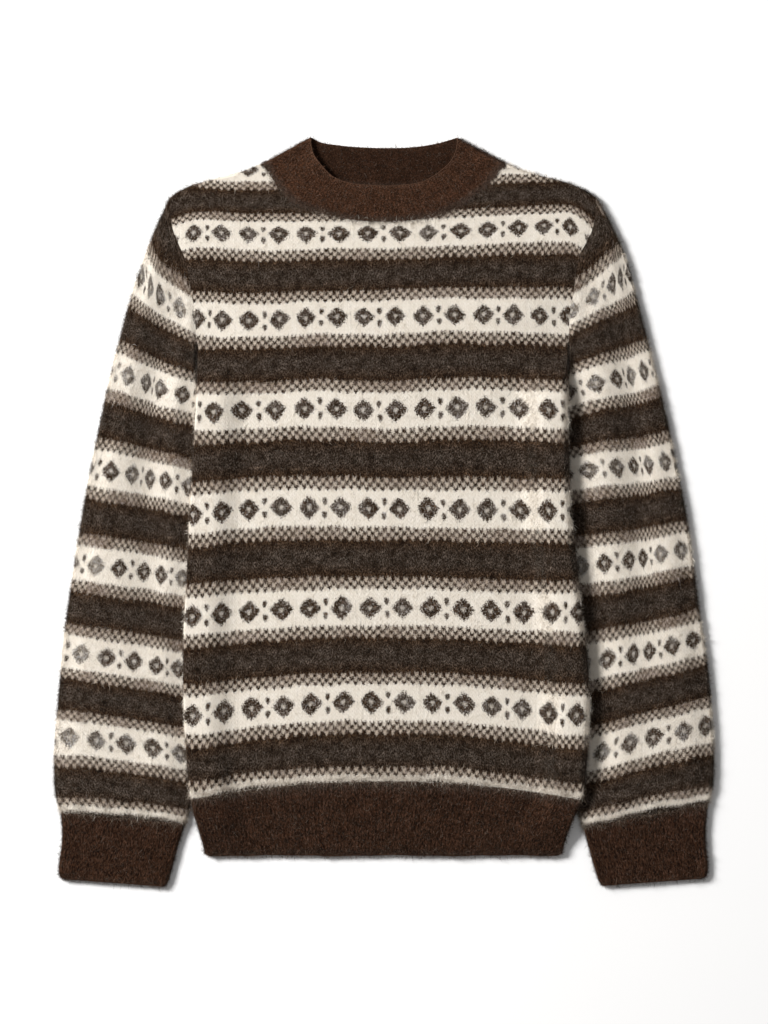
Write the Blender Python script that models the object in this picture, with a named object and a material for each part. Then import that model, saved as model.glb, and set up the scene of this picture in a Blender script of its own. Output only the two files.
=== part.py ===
"""Striped wool pullover laid flat, front up, on a level surface.

Sizes are millimetres until a mesh is made. X runs across the garment, Y from the cuffs to the
neck, Z up from the surface, and the origin lies under the middle of the laid garment. Every piece
is a wall of knit between an outer and an inner grid of points. The two layers of the body lie on
each other, meet in a soft fold at the side and shoulder seams, and lie over the inner edges of the
sleeves.
"""

import math

import bmesh
import bpy
import numpy as np

MM = 0.001

# The cloth
WALL = 2.5  # brushed stockinette under its own weight
RIB_PITCH = 3.25  # one raised wale and one sunk wale of the rib
RIB_RISE = 0.35  # how far a raised wale stands above the mean face
SEAM = 0.3  # gap between two linked pieces
HALF_SEAM = SEAM / 2

# The air between the two layers
FOLD_AIR = 1.0
BODY_AIR = 3.0
BAND_AIR = 3.4
RIB_AIR = 0.8
SLEEVE_AIR = 3.5
ARMHOLE_AIR = 2.6
PRESSED_AIR = 0.6  # where the body lies on the sleeve
PRESSED_MARGIN = 2.0  # and so far out beside the body
SLEEVE_UNDER_BODY = 2 * WALL + PRESSED_AIR + 0.4

FOLD_RADIUS = WALL + FOLD_AIR / 2

# How far in from an edge the air between front and back grows to its full height
AIR_FROM_SIDE = 60.0
AIR_FROM_SHOULDER = 45.0
AIR_FROM_HEM = 26.0
AIR_FROM_BODY = 15.0  # on a sleeve, out from the body's side edge
AIR_FROM_FOLD = 20.0  # on a sleeve, in from its outer fold
AIR_AT_ARMHOLE = 40.0  # the armhole isn't a fold, so it starts as if this far in

# Heights along the garment
HEM_END = -319.0
HEM_SEAM_DROP = 17.0  # the hem seam runs this much lower at the side seams
HEM_HALF_WIDTH = 182.0
HEM_SEAM_MIDDLE = -249.5
UNDERARM = 155.0
SHOULDER_POINT = 292.2
LIFT_RUN = 58.0  # below the underarm the body climbs onto the sleeve over this length
LIFT_FOOT = -284.0  # below this the body comes down again beside the cuff
LIFT_WIDTH = 21.0  # how far in from the side seam the body lies at full lift
LIFT_SLOPE = 29.0  # the run from there down to the surface


def table(names, *rows):
    """Columns by name, from rows of sizes."""
    return {name: np.array(column, float) for name, column in zip(names.split(), zip(*rows))}


# How finely the solids are divided
QUARTER_STEPS = 3  # facets in a quarter turn of a folded edge
ROWS_BELOW = 11
ROWS_ABOVE = 9
ARM_SHARE = 0.7583  # the underarm's share of the way from the hem seam to the shoulder fold
ARM_STEP = 0.0054  # the first row above it, where the side fold has opened out flat
BESIDE_EDGE = np.array([12.0, LIFT_WIDTH, 30.0, 40.0, LIFT_WIDTH + LIFT_SLOPE])
BULGE_LEFT = (0.6, 0.3, 0.1)  # how much of the armhole's curve the sleeve's first rows keep
HEM_ROWS = (0.0, 0.5, 1.0)
HEM_WALES = round(335.0 / RIB_PITCH)
HEM_FRONT_ACROSS = np.linspace(0, 1, 2 * HEM_WALES + 1)
HEM_BACK_STEPS = np.array([0, 0.03, 0.06, 0.085, 0.11, 0.14, 0.3])
HEM_BACK_ACROSS = np.concatenate([HEM_BACK_STEPS, [0.5], 1 - HEM_BACK_STEPS[::-1]])
BAND_ROWS = (0.0, 0.5, 1.0)
BAND_WALES = 60
BAND_FRONT_POINTS = 2 * BAND_WALES + 1
BAND_CORNER_POINTS = 16.0  # the band's air grows from the fold over so many points
BAND_BACK_POINTS = 14
BAND_CORNER_GAP = 0.4  # more room where the two shoulder seams run into the band
CUFF_UNDER_POINTS = 8

# Side seams and armholes, from the hem end up to the shoulder points
BODY_EDGE = table(
    "height left right",
    (-319, -166.0, 165.0),
    (-305, -169.5, 168.5),
    (-291, -173.6, 173.4),
    (-266, -179.9, 184.0),
    (-232, -183.4, 188.3),
    (-174, -186.4, 191.1),
    (-119, -186.4, 187.3),
    (-63, -183.6, 181.0),
    (11, -179.9, 173.6),
    (76, -176.2, 171.6),
    (155, -173.9, 171.6),
    (183, -175.8, 172.4),
    (204, -179.0, 175.8),
    (220, -181.8, 178.0),
    (237.4, -185.5, 181.0),
    (249.5, -191.1, 187.4),
    (263.4, -196.2, 193.9),
    (278.3, -198.0, 196.2),
    (292.2, -198.5, 196.6),
)

# Shoulder seams from the shoulder points in to the neck, and the neckline of each panel
SHOULDER = table(
    "across height",
    (-198.5, 292.2),
    (-192.0, 297.2),
    (-178.1, 304.0),
    (-163.2, 308.0),
    (-148.4, 311.6),
    (-133.6, 315.6),
    (-113.2, 323.7),
    (113.2, 323.7),
    (129.9, 317.2),
    (148.4, 311.6),
    (163.0, 308.0),
    (176.0, 304.0),
    (190.0, 297.0),
    (196.6, 292.2),
)
NECK_CORNER = 113.2
NECK_FRONT = table(
    "across height",
    (-113.2, 323.7),
    (-110.8, 320.1),
    (-98.3, 301.4),
    (-87.2, 289.0),
    (-57.5, 277.0),
    (-28.8, 270.8),
    (0, 269.0),
    (28.8, 270.8),
    (54.0, 276.3),
    (76.5, 288.5),
    (96.5, 303.8),
    (110.8, 320.8),
    (113.2, 323.7),
)
NECK_BACK = table(
    "across height",
    (-113.2, 323.7),
    (-110.8, 322.1),
    (-90.0, 311.0),
    (-48.0, 303.0),
    (0, 300.5),
    (48.0, 303.0),
    (90.0, 311.0),
    (110.8, 322.1),
    (113.2, 323.7),
)

# The free edge of the neckband
BAND_FRONT = table(
    "across height",
    (-68.6, 347.8),
    (-65.9, 333.0),
    (-57.5, 320.9),
    (-48.2, 311.6),
    (-28.8, 304.6),
    (-11.0, 303.0),
    (17.5, 303.0),
    (38.0, 307.2),
    (51.0, 315.0),
    (62.1, 325.5),
    (66.8, 335.0),
    (68.6, 347.4),
)
BAND_BACK = table(
    "across height",
    (-68.6, 347.8),
    (-60.3, 343.4),
    (-44.5, 340.4),
    (-25.0, 338.5),
    (0, 337.6),
    (27.8, 338.5),
    (51.0, 342.2),
    (68.6, 347.4),
)

# Each sleeve from the armhole to the cuff seam: the ends of a line across it, on the outer fold
# and on the inner fold, which runs beside the side seam and then under the body
SLEEVES = {
    "left": table(
        "outer_x outer_y inner_x inner_y",
        (-212.4, 261.6, -175.5, 144.7),
        (-223.5, 231.9, -176.0, 129.9),
        (-235.6, 196.6, -176.4, 113.2),
        (-250.4, 141.0, -176.8, 99.2),
        (-260.6, 96.5, -171.6, 66.8),
        (-271.8, 41.7, -166.0, 22.3),
        (-281.0, -7.4, -165.1, -26.0),
        (-288.0, -53.8, -166.0, -71.4),
        (-294.5, -95.5, -167.0, -113.2),
        (-299.1, -137.3, -167.9, -155.8),
        (-302.8, -179.0, -170.7, -200.3),
        (-305.8, -220.7, -173.9, -240.2),
        (-305.6, -257.8, -179.0, -269.9),
        (-300.0, -279.0, -184.6, -289.4),
    ),
    "right": table(
        "outer_x outer_y inner_x inner_y",
        (213.3, 261.6, 173.7, 144.7),
        (225.4, 231.9, 174.4, 129.9),
        (234.7, 196.6, 174.6, 113.2),
        (248.6, 143.8, 174.0, 99.2),
        (258.8, 102.0, 168.8, 66.8),
        (270.8, 46.4, 163.2, 24.1),
        (281.0, -5.6, 165.1, -30.6),
        (287.5, -50.1, 168.8, -77.0),
        (292.2, -89.0, 172.5, -118.7),
        (298.6, -129.9, 175.3, -161.4),
        (303.3, -174.4, 178.1, -206.8),
        (306.0, -218.9, 176.2, -246.7),
        (305.2, -253.2, 177.1, -270.8),
        (300.5, -270.8, 185.0, -293.1),
    ),
}

# Each cuff from its seam to its end, the same two ends of a line across it
CUFFS = {
    "left": table(
        "outer_x outer_y inner_x inner_y",
        (-300.0, -279.3, -184.6, -289.7),
        (-299.0, -303.0, -191.0, -309.5),
        (-302.2, -335.0, -199.5, -341.0),
        (-295.0, -341.0, -204.6, -347.8),
    ),
    "right": table(
        "outer_x outer_y inner_x inner_y",
        (300.5, -271.1, 185.0, -293.4),
        (298.6, -301.0, 190.2, -313.0),
        (300.8, -334.0, 198.2, -340.0),
        (294.0, -340.4, 203.0, -346.9),
    ),
}

# The soft lengthwise valley that each sleeve's upper layer falls into
VALLEYS = {
    "left": table(
        "height across depth",
        (230, -196, 0.0),
        (160, -204, 0.8),
        (112, -214, 1.0),
        (30, -218, 0.9),
        (-55, -216, 0.6),
        (-140, -222, 0.25),
        (-250, -232, 0.1),
    ),
    "right": table(
        "height across depth",
        (230, 205, 0.0),
        (160, 222, 0.8),
        (125, 229, 1.0),
        (35, 237, 0.9),
        (-45, 240, 0.7),
        (-130, 240, 0.35),
        (-250, 236, 0.1),
    ),
}
VALLEY_HALF_WIDTH = 17.0
VALLEY_AIR = 0.3

# Colours of the yarns, linear
CREAM_AND_BROWN = (0.16, 0.12, 0.09, 1)
DARK_BROWN = (0.035, 0.017, 0.010, 1)


def curve(at, x, y):
    """Smooth line through rising x: a cubic between two points, its slopes from the neighbours."""
    slope = np.gradient(y, x)
    i = np.clip(np.searchsorted(x, at, side="right") - 1, 0, len(x) - 2)
    step = x[i + 1] - x[i]
    t = np.clip((at - x[i]) / step, 0, 1)
    rise = (2 * t**3 - 3 * t**2 + 1) * y[i] + (3 * t**2 - 2 * t**3) * y[i + 1]
    return rise + step * ((t**3 - 2 * t**2 + t) * slope[i] + (t**3 - t**2) * slope[i + 1])


def ease(t):
    """0 to 1 with level ends."""
    t = np.clip(t, 0, 1)
    return t * t * (3 - 2 * t)


def body_edge(side, height):
    return curve(height, BODY_EDGE["height"], BODY_EDGE[side])


def hem_seam(across):
    """Height of the seam above the hem rib, lower towards the side seams."""
    return HEM_SEAM_MIDDLE - HEM_SEAM_DROP * (np.abs(across) / HEM_HALF_WIDTH) ** 2


def inset(across, height):
    """Distance in from the nearer side edge of the body."""
    return np.minimum(across - body_edge("left", height), body_edge("right", height) - across)


def lift(across, height):
    """Height of the back layer's underside, which climbs onto the sleeves' inner edges."""
    along = ease((UNDERARM - height) / LIFT_RUN) * ease((height - HEM_END) / (LIFT_FOOT - HEM_END))
    off_edge = 1 - ease((inset(across, height) - LIFT_WIDTH) / LIFT_SLOPE)
    return SLEEVE_UNDER_BODY * along * off_edge


def body_air(across, height):
    """Air between front and back: little at a fold or a seam, more in the middle."""
    above_arm = AIR_AT_ARMHOLE * ease((height - UNDERARM - FOLD_RADIUS) / AIR_FROM_SIDE)
    from_side = ease((inset(across, height) + above_arm) / AIR_FROM_SIDE)
    shoulder = np.interp(across, SHOULDER["across"], SHOULDER["height"])
    from_top = ease((shoulder - height) / AIR_FROM_SHOULDER)
    from_hem = ease((height - hem_seam(across)) / AIR_FROM_HEM)
    return FOLD_AIR + (BODY_AIR - FOLD_AIR) * from_side * from_top * from_hem


def closed_wall(outer, inner, ring=False):
    """Vertices and quads of a wall between two grids, closed along every free border."""
    rows, columns = outer.shape[:2]
    points = np.concatenate([outer.reshape(-1, 3), inner.reshape(-1, 3)])
    index = np.arange(rows * columns).reshape(rows, columns)
    if ring:
        index = np.concatenate([index, index[:, :1]], axis=1)
    under = index + rows * columns
    faces = []
    for face, order in ((index, 1), (under, -1)):
        quads = np.stack([face[:-1, :-1], face[:-1, 1:], face[1:, 1:], face[1:, :-1]], axis=-1)
        faces.append(quads.reshape(-1, 4)[:, ::order])
    borders = [(under[0], index[0]), (index[-1], under[-1])]
    if not ring:
        borders += [(index[:, 0], under[:, 0]), (under[:, -1], index[:, -1])]
    for top, bottom in borders:
        faces.append(np.stack([top[:-1], top[1:], bottom[1:], bottom[:-1]], axis=-1))
    return points, np.concatenate(faces)


def yarn(name, colour):
    """Brushed wool: rough and without gloss."""
    material = bpy.data.materials.new(name)
    material.use_nodes = True
    shader = material.node_tree.nodes["Principled BSDF"]
    shader.inputs["Base Color"].default_value = colour
    shader.inputs["Roughness"].default_value = 0.95
    shader.inputs["Metallic"].default_value = 0.0
    return material


def piece(name, outer, inner, material, ring=False):
    """One named solid from its outer and inner grids."""
    points, faces = closed_wall(outer, inner, ring)
    mesh = bpy.data.meshes.new(name)
    mesh.from_pydata((points * MM).tolist(), [], faces.tolist())
    skin = bmesh.new()
    skin.from_mesh(mesh)
    bmesh.ops.recalc_face_normals(skin, faces=skin.faces)
    skin.to_mesh(mesh)
    skin.free()
    mesh.materials.append(material)
    solid = bpy.data.objects.new(name, mesh)
    collection.objects.link(solid)
    solid.parent = garment


def outline(neckline):
    """Top edge of a panel: shoulder seam, neckline, shoulder seam."""
    half = len(SHOULDER["across"]) // 2
    return tuple(
        np.concatenate([SHOULDER[key][:half], neckline[key][1:-1], SHOULDER[key][half:]])
        for key in ("across", "height")
    )


def panel_skin(layer, neckline, depth):
    """One skin of a body panel, depth in from its outer face, as a grid of points.

    Columns keep their distance from the nearer side edge at the sides, and in the middle they run
    down from the neckline's points. Rows keep their share of the way from the hem seam to the
    start of the shoulder fold. A folded edge is a quarter turn round the middle of the two layers,
    up for the front and down for the back: distance in = fold radius - radius cos(turn), height =
    radius sin(turn).
    """
    radius = FOLD_RADIUS - depth
    turn = np.linspace(math.asin(HALF_SEAM / radius), math.pi / 2, QUARTER_STEPS + 1)
    along = FOLD_RADIUS * np.linspace(0, 1, QUARTER_STEPS + 1)
    folded_in = FOLD_RADIUS - radius * np.cos(turn)
    middle_columns = neckline["across"]
    share_to_arm = np.linspace(0, 1, ROWS_BELOW) ** 1.1 * ARM_SHARE
    share_above = np.linspace(ARM_SHARE + ARM_STEP, 1, ROWS_ABOVE)
    share = np.concatenate([share_to_arm, share_above])
    rows = len(share) + QUARTER_STEPS
    beside_arm = np.arange(rows) >= ROWS_BELOW
    edge_in = np.where(beside_arm[:, None], along, folded_in)
    edge_in = np.concatenate([edge_in, np.tile(BESIDE_EDGE, (rows, 1))], axis=1)
    count = edge_in.shape[1]
    x = np.zeros((rows, 2 * count + len(middle_columns) + 2))
    y = np.linspace(HEM_SEAM_MIDDLE, SHOULDER_POINT, rows)[:, None] + x
    for _ in range(8):
        x[:, :count] = body_edge("left", y[:, :count]) + edge_in
        x[:, -count:] = body_edge("right", y[:, -count:]) - edge_in[:, ::-1]
        x[:, count + 1 : -count - 1] = middle_columns
        x[:, count] = (x[:, count - 1] + x[:, count + 1]) / 2
        x[:, -count - 1] = (x[:, -count] + x[:, -count - 2]) / 2
        top = np.interp(x[-1], *outline(neckline))
        bottom = hem_seam(x[0])
        is_neck = np.abs(x[-1]) < NECK_CORNER - 0.01
        start = len(share)
        y[:start] = bottom + (top - FOLD_RADIUS - bottom) * share[:, None]
        y[start:] = top - np.where(is_neck, along[-2::-1, None], folded_in[-2::-1, None])
    sine = np.ones(x.shape)
    sine[:ROWS_BELOW, : QUARTER_STEPS + 1] = np.sin(turn)
    sine[:ROWS_BELOW, -QUARTER_STEPS - 1 :] = np.sin(turn[::-1])
    sine[start:] = np.where(is_neck, 1.0, np.sin(turn[-2::-1])[:, None])
    z = lift(x, y) + FOLD_RADIUS
    if layer == "front":
        z += radius * sine + body_air(x, y) - FOLD_AIR
    else:
        z -= radius * sine
    return np.stack([x, y, z], axis=-1)


def panel(layer, neckline):
    """A body panel. Returns its outer points, which the pieces sewn to it follow."""
    outer = panel_skin(layer, neckline, 0)
    inner = panel_skin(layer, neckline, WALL)
    piece(layer, outer, inner, striped)
    return outer


def hem_skin(layer, seam_points, across, depth):
    """One skin of a hem rib: rows from the body seam to the hem end, raised wales on the front."""
    fold = WALL + RIB_AIR / 2
    radius = fold - depth
    turn = np.linspace(math.asin(HALF_SEAM / radius), math.pi / 2, QUARTER_STEPS + 1)
    x = np.zeros((len(HEM_ROWS), len(across) + 2 * QUARTER_STEPS))
    y = np.zeros(x.shape)
    for _ in range(4):
        for row, part in enumerate(HEM_ROWS):
            left = body_edge("left", y[row, 0])
            right = body_edge("right", y[row, -1])
            round_fold = fold - radius * np.cos(turn[:-1])
            flat = left + fold + across * (right - left - 2 * fold)
            x[row] = np.concatenate([left + round_fold, flat, right - round_fold[::-1]])
            seam = np.interp(x[row], seam_points[:, 0], seam_points[:, 1]) - SEAM
            y[row] = seam + (HEM_END - seam) * part
    sine = np.ones(x.shape)
    sine[:, :QUARTER_STEPS] = np.sin(turn[:-1])
    sine[:, -QUARTER_STEPS:] = np.sin(turn[-2::-1])
    z = lift(x, y) + fold
    if layer == "front":
        z += radius * sine
        if depth == 0:
            z[:, QUARTER_STEPS:-QUARTER_STEPS] += wales(len(across))
    else:
        z -= radius * sine
    return np.stack([x, y, z], axis=-1)


def wales(points):
    """Relief across a rib: raised and sunk in turn, level at both ends."""
    relief = RIB_RISE * (2.0 * (np.arange(points) % 2) - 1)
    relief[[0, -1]] = 0
    return relief


def tube_skin(corners, upper, lower, top, bottom, depth, seam):
    """One skin of a flattened tube, a row for each line across it, as a grid of points.

    Each row runs from the first corner over the upper layer to the second corner and back under
    the lower layer. At a corner the cloth turns through half a circle whose width is the height of
    the stack there. With a seam, the row starts and ends half the seam's gap from its middle.
    """
    span = np.linspace(0, 1, QUARTER_STEPS + 1)

    def quarter(corner, layer, end, sign, inward):
        """From the fold's middle to the flat, without the flat point."""
        half = (top[:, end] - bottom[:, end]) / 2
        radius = half - depth
        first = np.arcsin(HALF_SEAM / radius) if seam and end == 0 else 0 * radius
        turn = first[:, None] + span[:-1] * (math.pi / 2 - first[:, None])
        part = 1 - (radius / half)[:, None] * np.cos(turn)
        plan = corner[:, None] + (layer[:, None, end] - corner[:, None]) * part[..., None]
        middle = (top[:, end] + bottom[:, end]) / 2
        height = middle[:, None] + sign * radius[:, None] * np.sin(turn)
        points = np.concatenate([plan, height[..., None]], axis=-1)
        return points if inward else points[:, ::-1]

    first, second = corners
    over = np.concatenate([upper, (top - depth)[..., None]], axis=-1)
    under = np.concatenate([lower, (bottom + depth)[..., None]], axis=-1)
    start = quarter(first, upper, 0, 1, True)
    finish = quarter(first, lower, 0, -1, False)
    return np.concatenate([
        start,
        over,
        quarter(second, upper, -1, 1, False),
        quarter(second, lower, -1, -1, True)[:, 1:],
        under[:, ::-1],
        finish if seam else finish[:, :-1],
    ], axis=1)


def sleeve_air(side, x, y):
    """Air in a sleeve: pressed under the body, more beside it, less in the valley."""
    outward = -inset(x, y)
    beside_arm = ease((y - UNDERARM + 25.0) / 45.0)
    near = PRESSED_AIR + (ARMHOLE_AIR - PRESSED_AIR) * beside_arm
    air = near + (SLEEVE_AIR - near) * ease((outward - PRESSED_MARGIN) / AIR_FROM_BODY)
    valley = VALLEYS[side]
    heights = valley["height"][::-1]
    across = curve(y, heights, valley["across"][::-1])
    depth = curve(y, heights, valley["depth"][::-1])
    return air - (air - VALLEY_AIR) * depth * np.exp(-(((x - across) / VALLEY_HALF_WIDTH) ** 2))


def sleeve(side, armhole):
    """A sleeve from the armhole to the cuff seam, folded flat, its linked edges at the inner fold.

    The first row is the armhole itself, from the underarm to the shoulder point. The shape of a
    row then changes from the armhole's curve to a straight line, over the first few rows.
    """
    sign = -1 if side == "left" else 1
    ends = SLEEVES[side]
    count = len(armhole)
    arm = armhole[:, :2] + np.array([sign * SEAM, 0])
    step = np.linalg.norm(np.diff(arm, axis=0), axis=1)
    arm_share = np.append(0, np.cumsum(step)) / step.sum()
    chord = arm[:1] + (arm[-1:] - arm[:1]) * arm_share[:, None]
    bulge = arm - chord
    inner = np.stack([ends["inner_x"], ends["inner_y"]], axis=-1)
    outer = np.stack([ends["outer_x"], ends["outer_y"]], axis=-1)
    rows = [arm[1:-1]]
    for number, (start, end) in enumerate(zip(inner, outer)):
        length = np.linalg.norm(end - start)
        way = (end - start) / length
        pressed = FOLD_RADIUS
        for _ in range(4):
            x, y = start + way * pressed
            pressed += max(inset(x, y) + PRESSED_MARGIN, 0) / abs(way[0])
        pressed = max(pressed, FOLD_RADIUS + 2 * PRESSED_MARGIN)
        along = np.append(FOLD_RADIUS, np.linspace(pressed, length - FOLD_RADIUS, count - 3))
        line = start + way * along[:, None]
        left_over = BULGE_LEFT[number] if number < len(BULGE_LEFT) else 0
        shape = [np.interp(along / length, arm_share, bulge[:, axis]) for axis in (0, 1)]
        rows.append(line + left_over * np.stack(shape, axis=-1))
    plan = np.stack(rows)
    x, y = plan[..., 0], plan[..., 1]
    air = sleeve_air(side, x, y)
    from_fold = np.linalg.norm(plan - plan[:, -1:], axis=-1)
    air = FOLD_AIR + (air - FOLD_AIR) * ease(from_fold / AIR_FROM_FOLD)
    air[0] = armhole[1:-1, 2] - 2 * WALL
    air[1:, 0] = PRESSED_AIR
    air[-1, 1:] = RIB_AIR
    top = 2 * WALL + air
    corners = (np.concatenate([arm[:1], inner]), np.concatenate([arm[-1:], outer]))
    skins = [tube_skin(corners, plan, plan, top, 0 * top, depth, True) for depth in (0, WALL)]
    piece("sleeve_" + side, *skins, striped)


def cuff(side):
    """A ribbed cuff, folded flat in line with its sleeve, raised wales on top."""
    ends = CUFFS[side]
    first = np.stack([ends["inner_x"], ends["inner_y"]], axis=-1)
    second = np.stack([ends["outer_x"], ends["outer_y"]], axis=-1)
    fold = WALL + RIB_AIR / 2
    length = np.linalg.norm(second - first, axis=-1)
    count = 2 * round((length.mean() - 2 * fold) / RIB_PITCH) + 1

    def across(points):
        share = (fold + np.linspace(0, 1, points) * (length[:, None] - 2 * fold)) / length[:, None]
        return first[:, None] + (second - first)[:, None] * share[..., None]

    upper, lower = across(count), across(CUFF_UNDER_POINTS)
    top = np.full(upper.shape[:2], 2 * WALL + RIB_AIR)
    bottom = np.zeros(lower.shape[:2])
    outer = tube_skin((first, second), upper, lower, top, bottom, 0, True)
    inner = tube_skin((first, second), upper, lower, top, bottom, WALL, True)
    outer[:, QUARTER_STEPS : QUARTER_STEPS + count, 2] += wales(count)
    piece("cuff_" + side, outer, inner, ribbed)


def even_points(line, count, ends_in):
    """Points at even steps along a plan line, the first and last a little in from its ends."""
    points = np.stack([line["across"], line["height"]], axis=-1)
    length = np.append(0, np.cumsum(np.linalg.norm(np.diff(points, axis=0), axis=1)))
    at = np.linspace(ends_in, length[-1] - ends_in, count)
    at = np.concatenate([[0], at, [length[-1]]])
    return np.stack([np.interp(at, length, points[:, axis]) for axis in (0, 1)], axis=-1)


def band_layer(seam_line, free_line, count, fold):
    """Plan of one layer of the neckband: straight wales from the neckline to the free edge."""
    seam = even_points(seam_line, count, fold)
    free = even_points(free_line, count, fold)
    wale = (free - seam) / np.linalg.norm(free - seam, axis=1)[:, None]
    along = np.gradient(seam, axis=0)
    along /= np.linalg.norm(along, axis=1)[:, None]
    square = along[:, 0] * wale[:, 1] - along[:, 1] * wale[:, 0]
    seam = seam + wale * (SEAM / square)[:, None]
    return seam + (free - seam) * np.array(BAND_ROWS)[:, None, None]


def neckband():
    """The ribbed ring round the neckline, laid flat, its front layer over its back layer."""
    fold = WALL + FOLD_AIR / 2
    front = band_layer(NECK_FRONT, BAND_FRONT, BAND_FRONT_POINTS, fold)
    back = band_layer(NECK_BACK, BAND_BACK, BAND_BACK_POINTS, fold)
    corners = []
    for end in (0, -1):
        corner = (front[:, end] + back[:, end]) / 2
        clear = corner[-1] - corner[0]
        corner[0] += clear * BAND_CORNER_GAP / np.linalg.norm(clear)
        corners.append(corner)
    upper, lower = front[:, 1:-1], back[:, 1:-1]
    seam_air = body_air(upper[:1, :, 0], upper[:1, :, 1])
    from_corner = ease(np.arange(BAND_FRONT_POINTS) / BAND_CORNER_POINTS)
    from_corner = np.minimum(from_corner, from_corner[::-1])
    edge_air = FOLD_AIR + (BAND_AIR - FOLD_AIR) * from_corner
    air = seam_air + (edge_air - seam_air) * np.array(BAND_ROWS)[:, None]
    air[:, [0, -1]] = FOLD_AIR
    top = 2 * WALL + air
    bottom = np.zeros(lower.shape[:2])
    outer = tube_skin(corners, upper, lower, top, bottom, 0, False)
    inner = tube_skin(corners, upper, lower, top, bottom, WALL, False)
    outer[:, QUARTER_STEPS : QUARTER_STEPS + BAND_FRONT_POINTS, 2] += wales(BAND_FRONT_POINTS)
    piece("neckband", outer, inner, ribbed, ring=True)


for old in list(bpy.data.objects):
    bpy.data.objects.remove(old, do_unlink=True)
collection = bpy.data.collections.new("striped_wool_sweater")
bpy.context.scene.collection.children.link(collection)
garment = bpy.data.objects.new("garment", None)
collection.objects.link(garment)
striped = yarn("striped_wool", CREAM_AND_BROWN)
ribbed = yarn("brown_rib", DARK_BROWN)

front = panel("front", NECK_FRONT)
back = panel("back", NECK_BACK)
for side, column in (("left", 0), ("right", -1)):
    edge = front[ROWS_BELOW - 1 :, column]
    sleeve(side, np.delete(edge, slice(-QUARTER_STEPS, -1), axis=0))
    cuff(side)
neckband()
for layer, body, across in (("front", front, HEM_FRONT_ACROSS), ("back", back, HEM_BACK_ACROSS)):
    skins = [hem_skin(layer, body[0, :, :2], across, depth) for depth in (0, WALL)]
    piece("hem_" + layer, *skins, ribbed)
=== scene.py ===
import math

import bpy
import numpy as np
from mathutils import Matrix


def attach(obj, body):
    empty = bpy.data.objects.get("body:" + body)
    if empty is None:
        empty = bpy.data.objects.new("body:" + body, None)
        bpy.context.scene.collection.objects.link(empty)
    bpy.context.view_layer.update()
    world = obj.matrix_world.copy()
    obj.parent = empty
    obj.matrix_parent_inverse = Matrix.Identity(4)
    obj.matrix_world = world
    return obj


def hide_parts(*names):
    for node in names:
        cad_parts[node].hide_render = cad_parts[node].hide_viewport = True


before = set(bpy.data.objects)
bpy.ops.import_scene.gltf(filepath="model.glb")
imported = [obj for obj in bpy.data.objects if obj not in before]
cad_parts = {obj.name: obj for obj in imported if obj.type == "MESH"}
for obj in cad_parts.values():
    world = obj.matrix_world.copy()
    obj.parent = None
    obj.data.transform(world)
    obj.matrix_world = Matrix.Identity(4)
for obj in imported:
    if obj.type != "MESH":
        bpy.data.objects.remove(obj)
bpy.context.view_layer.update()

# Striped wool pullover laid flat, front up, with a ribbed crew neckband, hem and cuffs. Sizes are
# millimetres until a mesh is made: X across the garment, Y from the cuffs to the neck, Z up. Every
# piece of cloth is a wall between an outer and an inner grid of points, and carries a nap of
# separate fibres. Places in the knit are counted in stitches across and rows up.

# ---- Back panel ----------------------------------------------------------------------------------
# The back half of the body, a panel of brushed two-colour stockinette knitted to shape. It lies
# face down on the table, under the front panel, and its side edges climb onto the sleeves.

MM = 0.001
WALL = 2.5  # cloth and nap together, as the solids have it
SUNK = 0.45  # the cloth itself lies so far under the nap's outer face
CLOTH = 2.0  # inner face, in from the nap's outer face
SEAM_SHOWN = 0.04  # the linked edges close up under the nap
FOLD_AIR, BODY_AIR = 1.0, 3.0
PRESSED_AIR = 0.6  # where the body lies on a sleeve
FOLD_RADIUS = WALL + FOLD_AIR / 2
ROLL_WIDTH = 0.55  # the side folds are squeezed to this share of their width
SLEEVE_UNDER_BODY = 2 * WALL + PRESSED_AIR + 0.4
AIR_FROM_SIDE, AIR_FROM_SHOULDER, AIR_FROM_HEM, AIR_AT_ARMHOLE = 60.0, 45.0, 26.0, 40.0
HEM_END, HEM_SEAM_MIDDLE, HEM_SEAM_DROP, HEM_HALF_WIDTH = -319.0, -249.5, 17.0, 182.0
UNDERARM, SHOULDER_POINT, NECK_CORNER = 155.0, 292.2, 113.2
LIFT_RUN, LIFT_FOOT, LIFT_WIDTH, LIFT_SLOPE = 58.0, -284.0, 21.0, 29.0
QUARTER_STEPS = 5
ROWS_BELOW, ROWS_ABOVE = 92, 31
ARM_SHARE, ARM_STEP = 0.7583, 0.0054
BESIDE_EDGE = np.array([5.5, 8.5, 12, 16.5, 21, 25.5, 30, 35, 40, 45, 50])
MIDDLE_COLUMNS, JOINING_COLUMNS = 55, 3


def table(names, *rows):
    """Columns by name, from rows of sizes."""
    return {name: np.array(column, float) for name, column in zip(names.split(), zip(*rows))}


# Side seams and armholes, from the hem end up to the shoulder points
BODY_EDGE = table(
    "height left right",
    (-319, -166.0, 165.0), (-305, -169.5, 168.5), (-291, -173.6, 173.4),
    (-266, -179.9, 184.0), (-232, -183.4, 188.3), (-174, -186.4, 191.1),
    (-119, -186.4, 187.3), (-63, -183.6, 181.0), (11, -179.9, 173.6),
    (76, -176.2, 171.6), (155, -173.9, 171.6), (183, -175.8, 172.4),
    (204, -179.0, 175.8), (220, -181.8, 178.0), (237.4, -185.5, 181.0),
    (249.5, -191.1, 187.4), (263.4, -196.2, 193.9), (278.3, -198.0, 196.2),
    (292.2, -198.5, 196.6),
)
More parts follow.
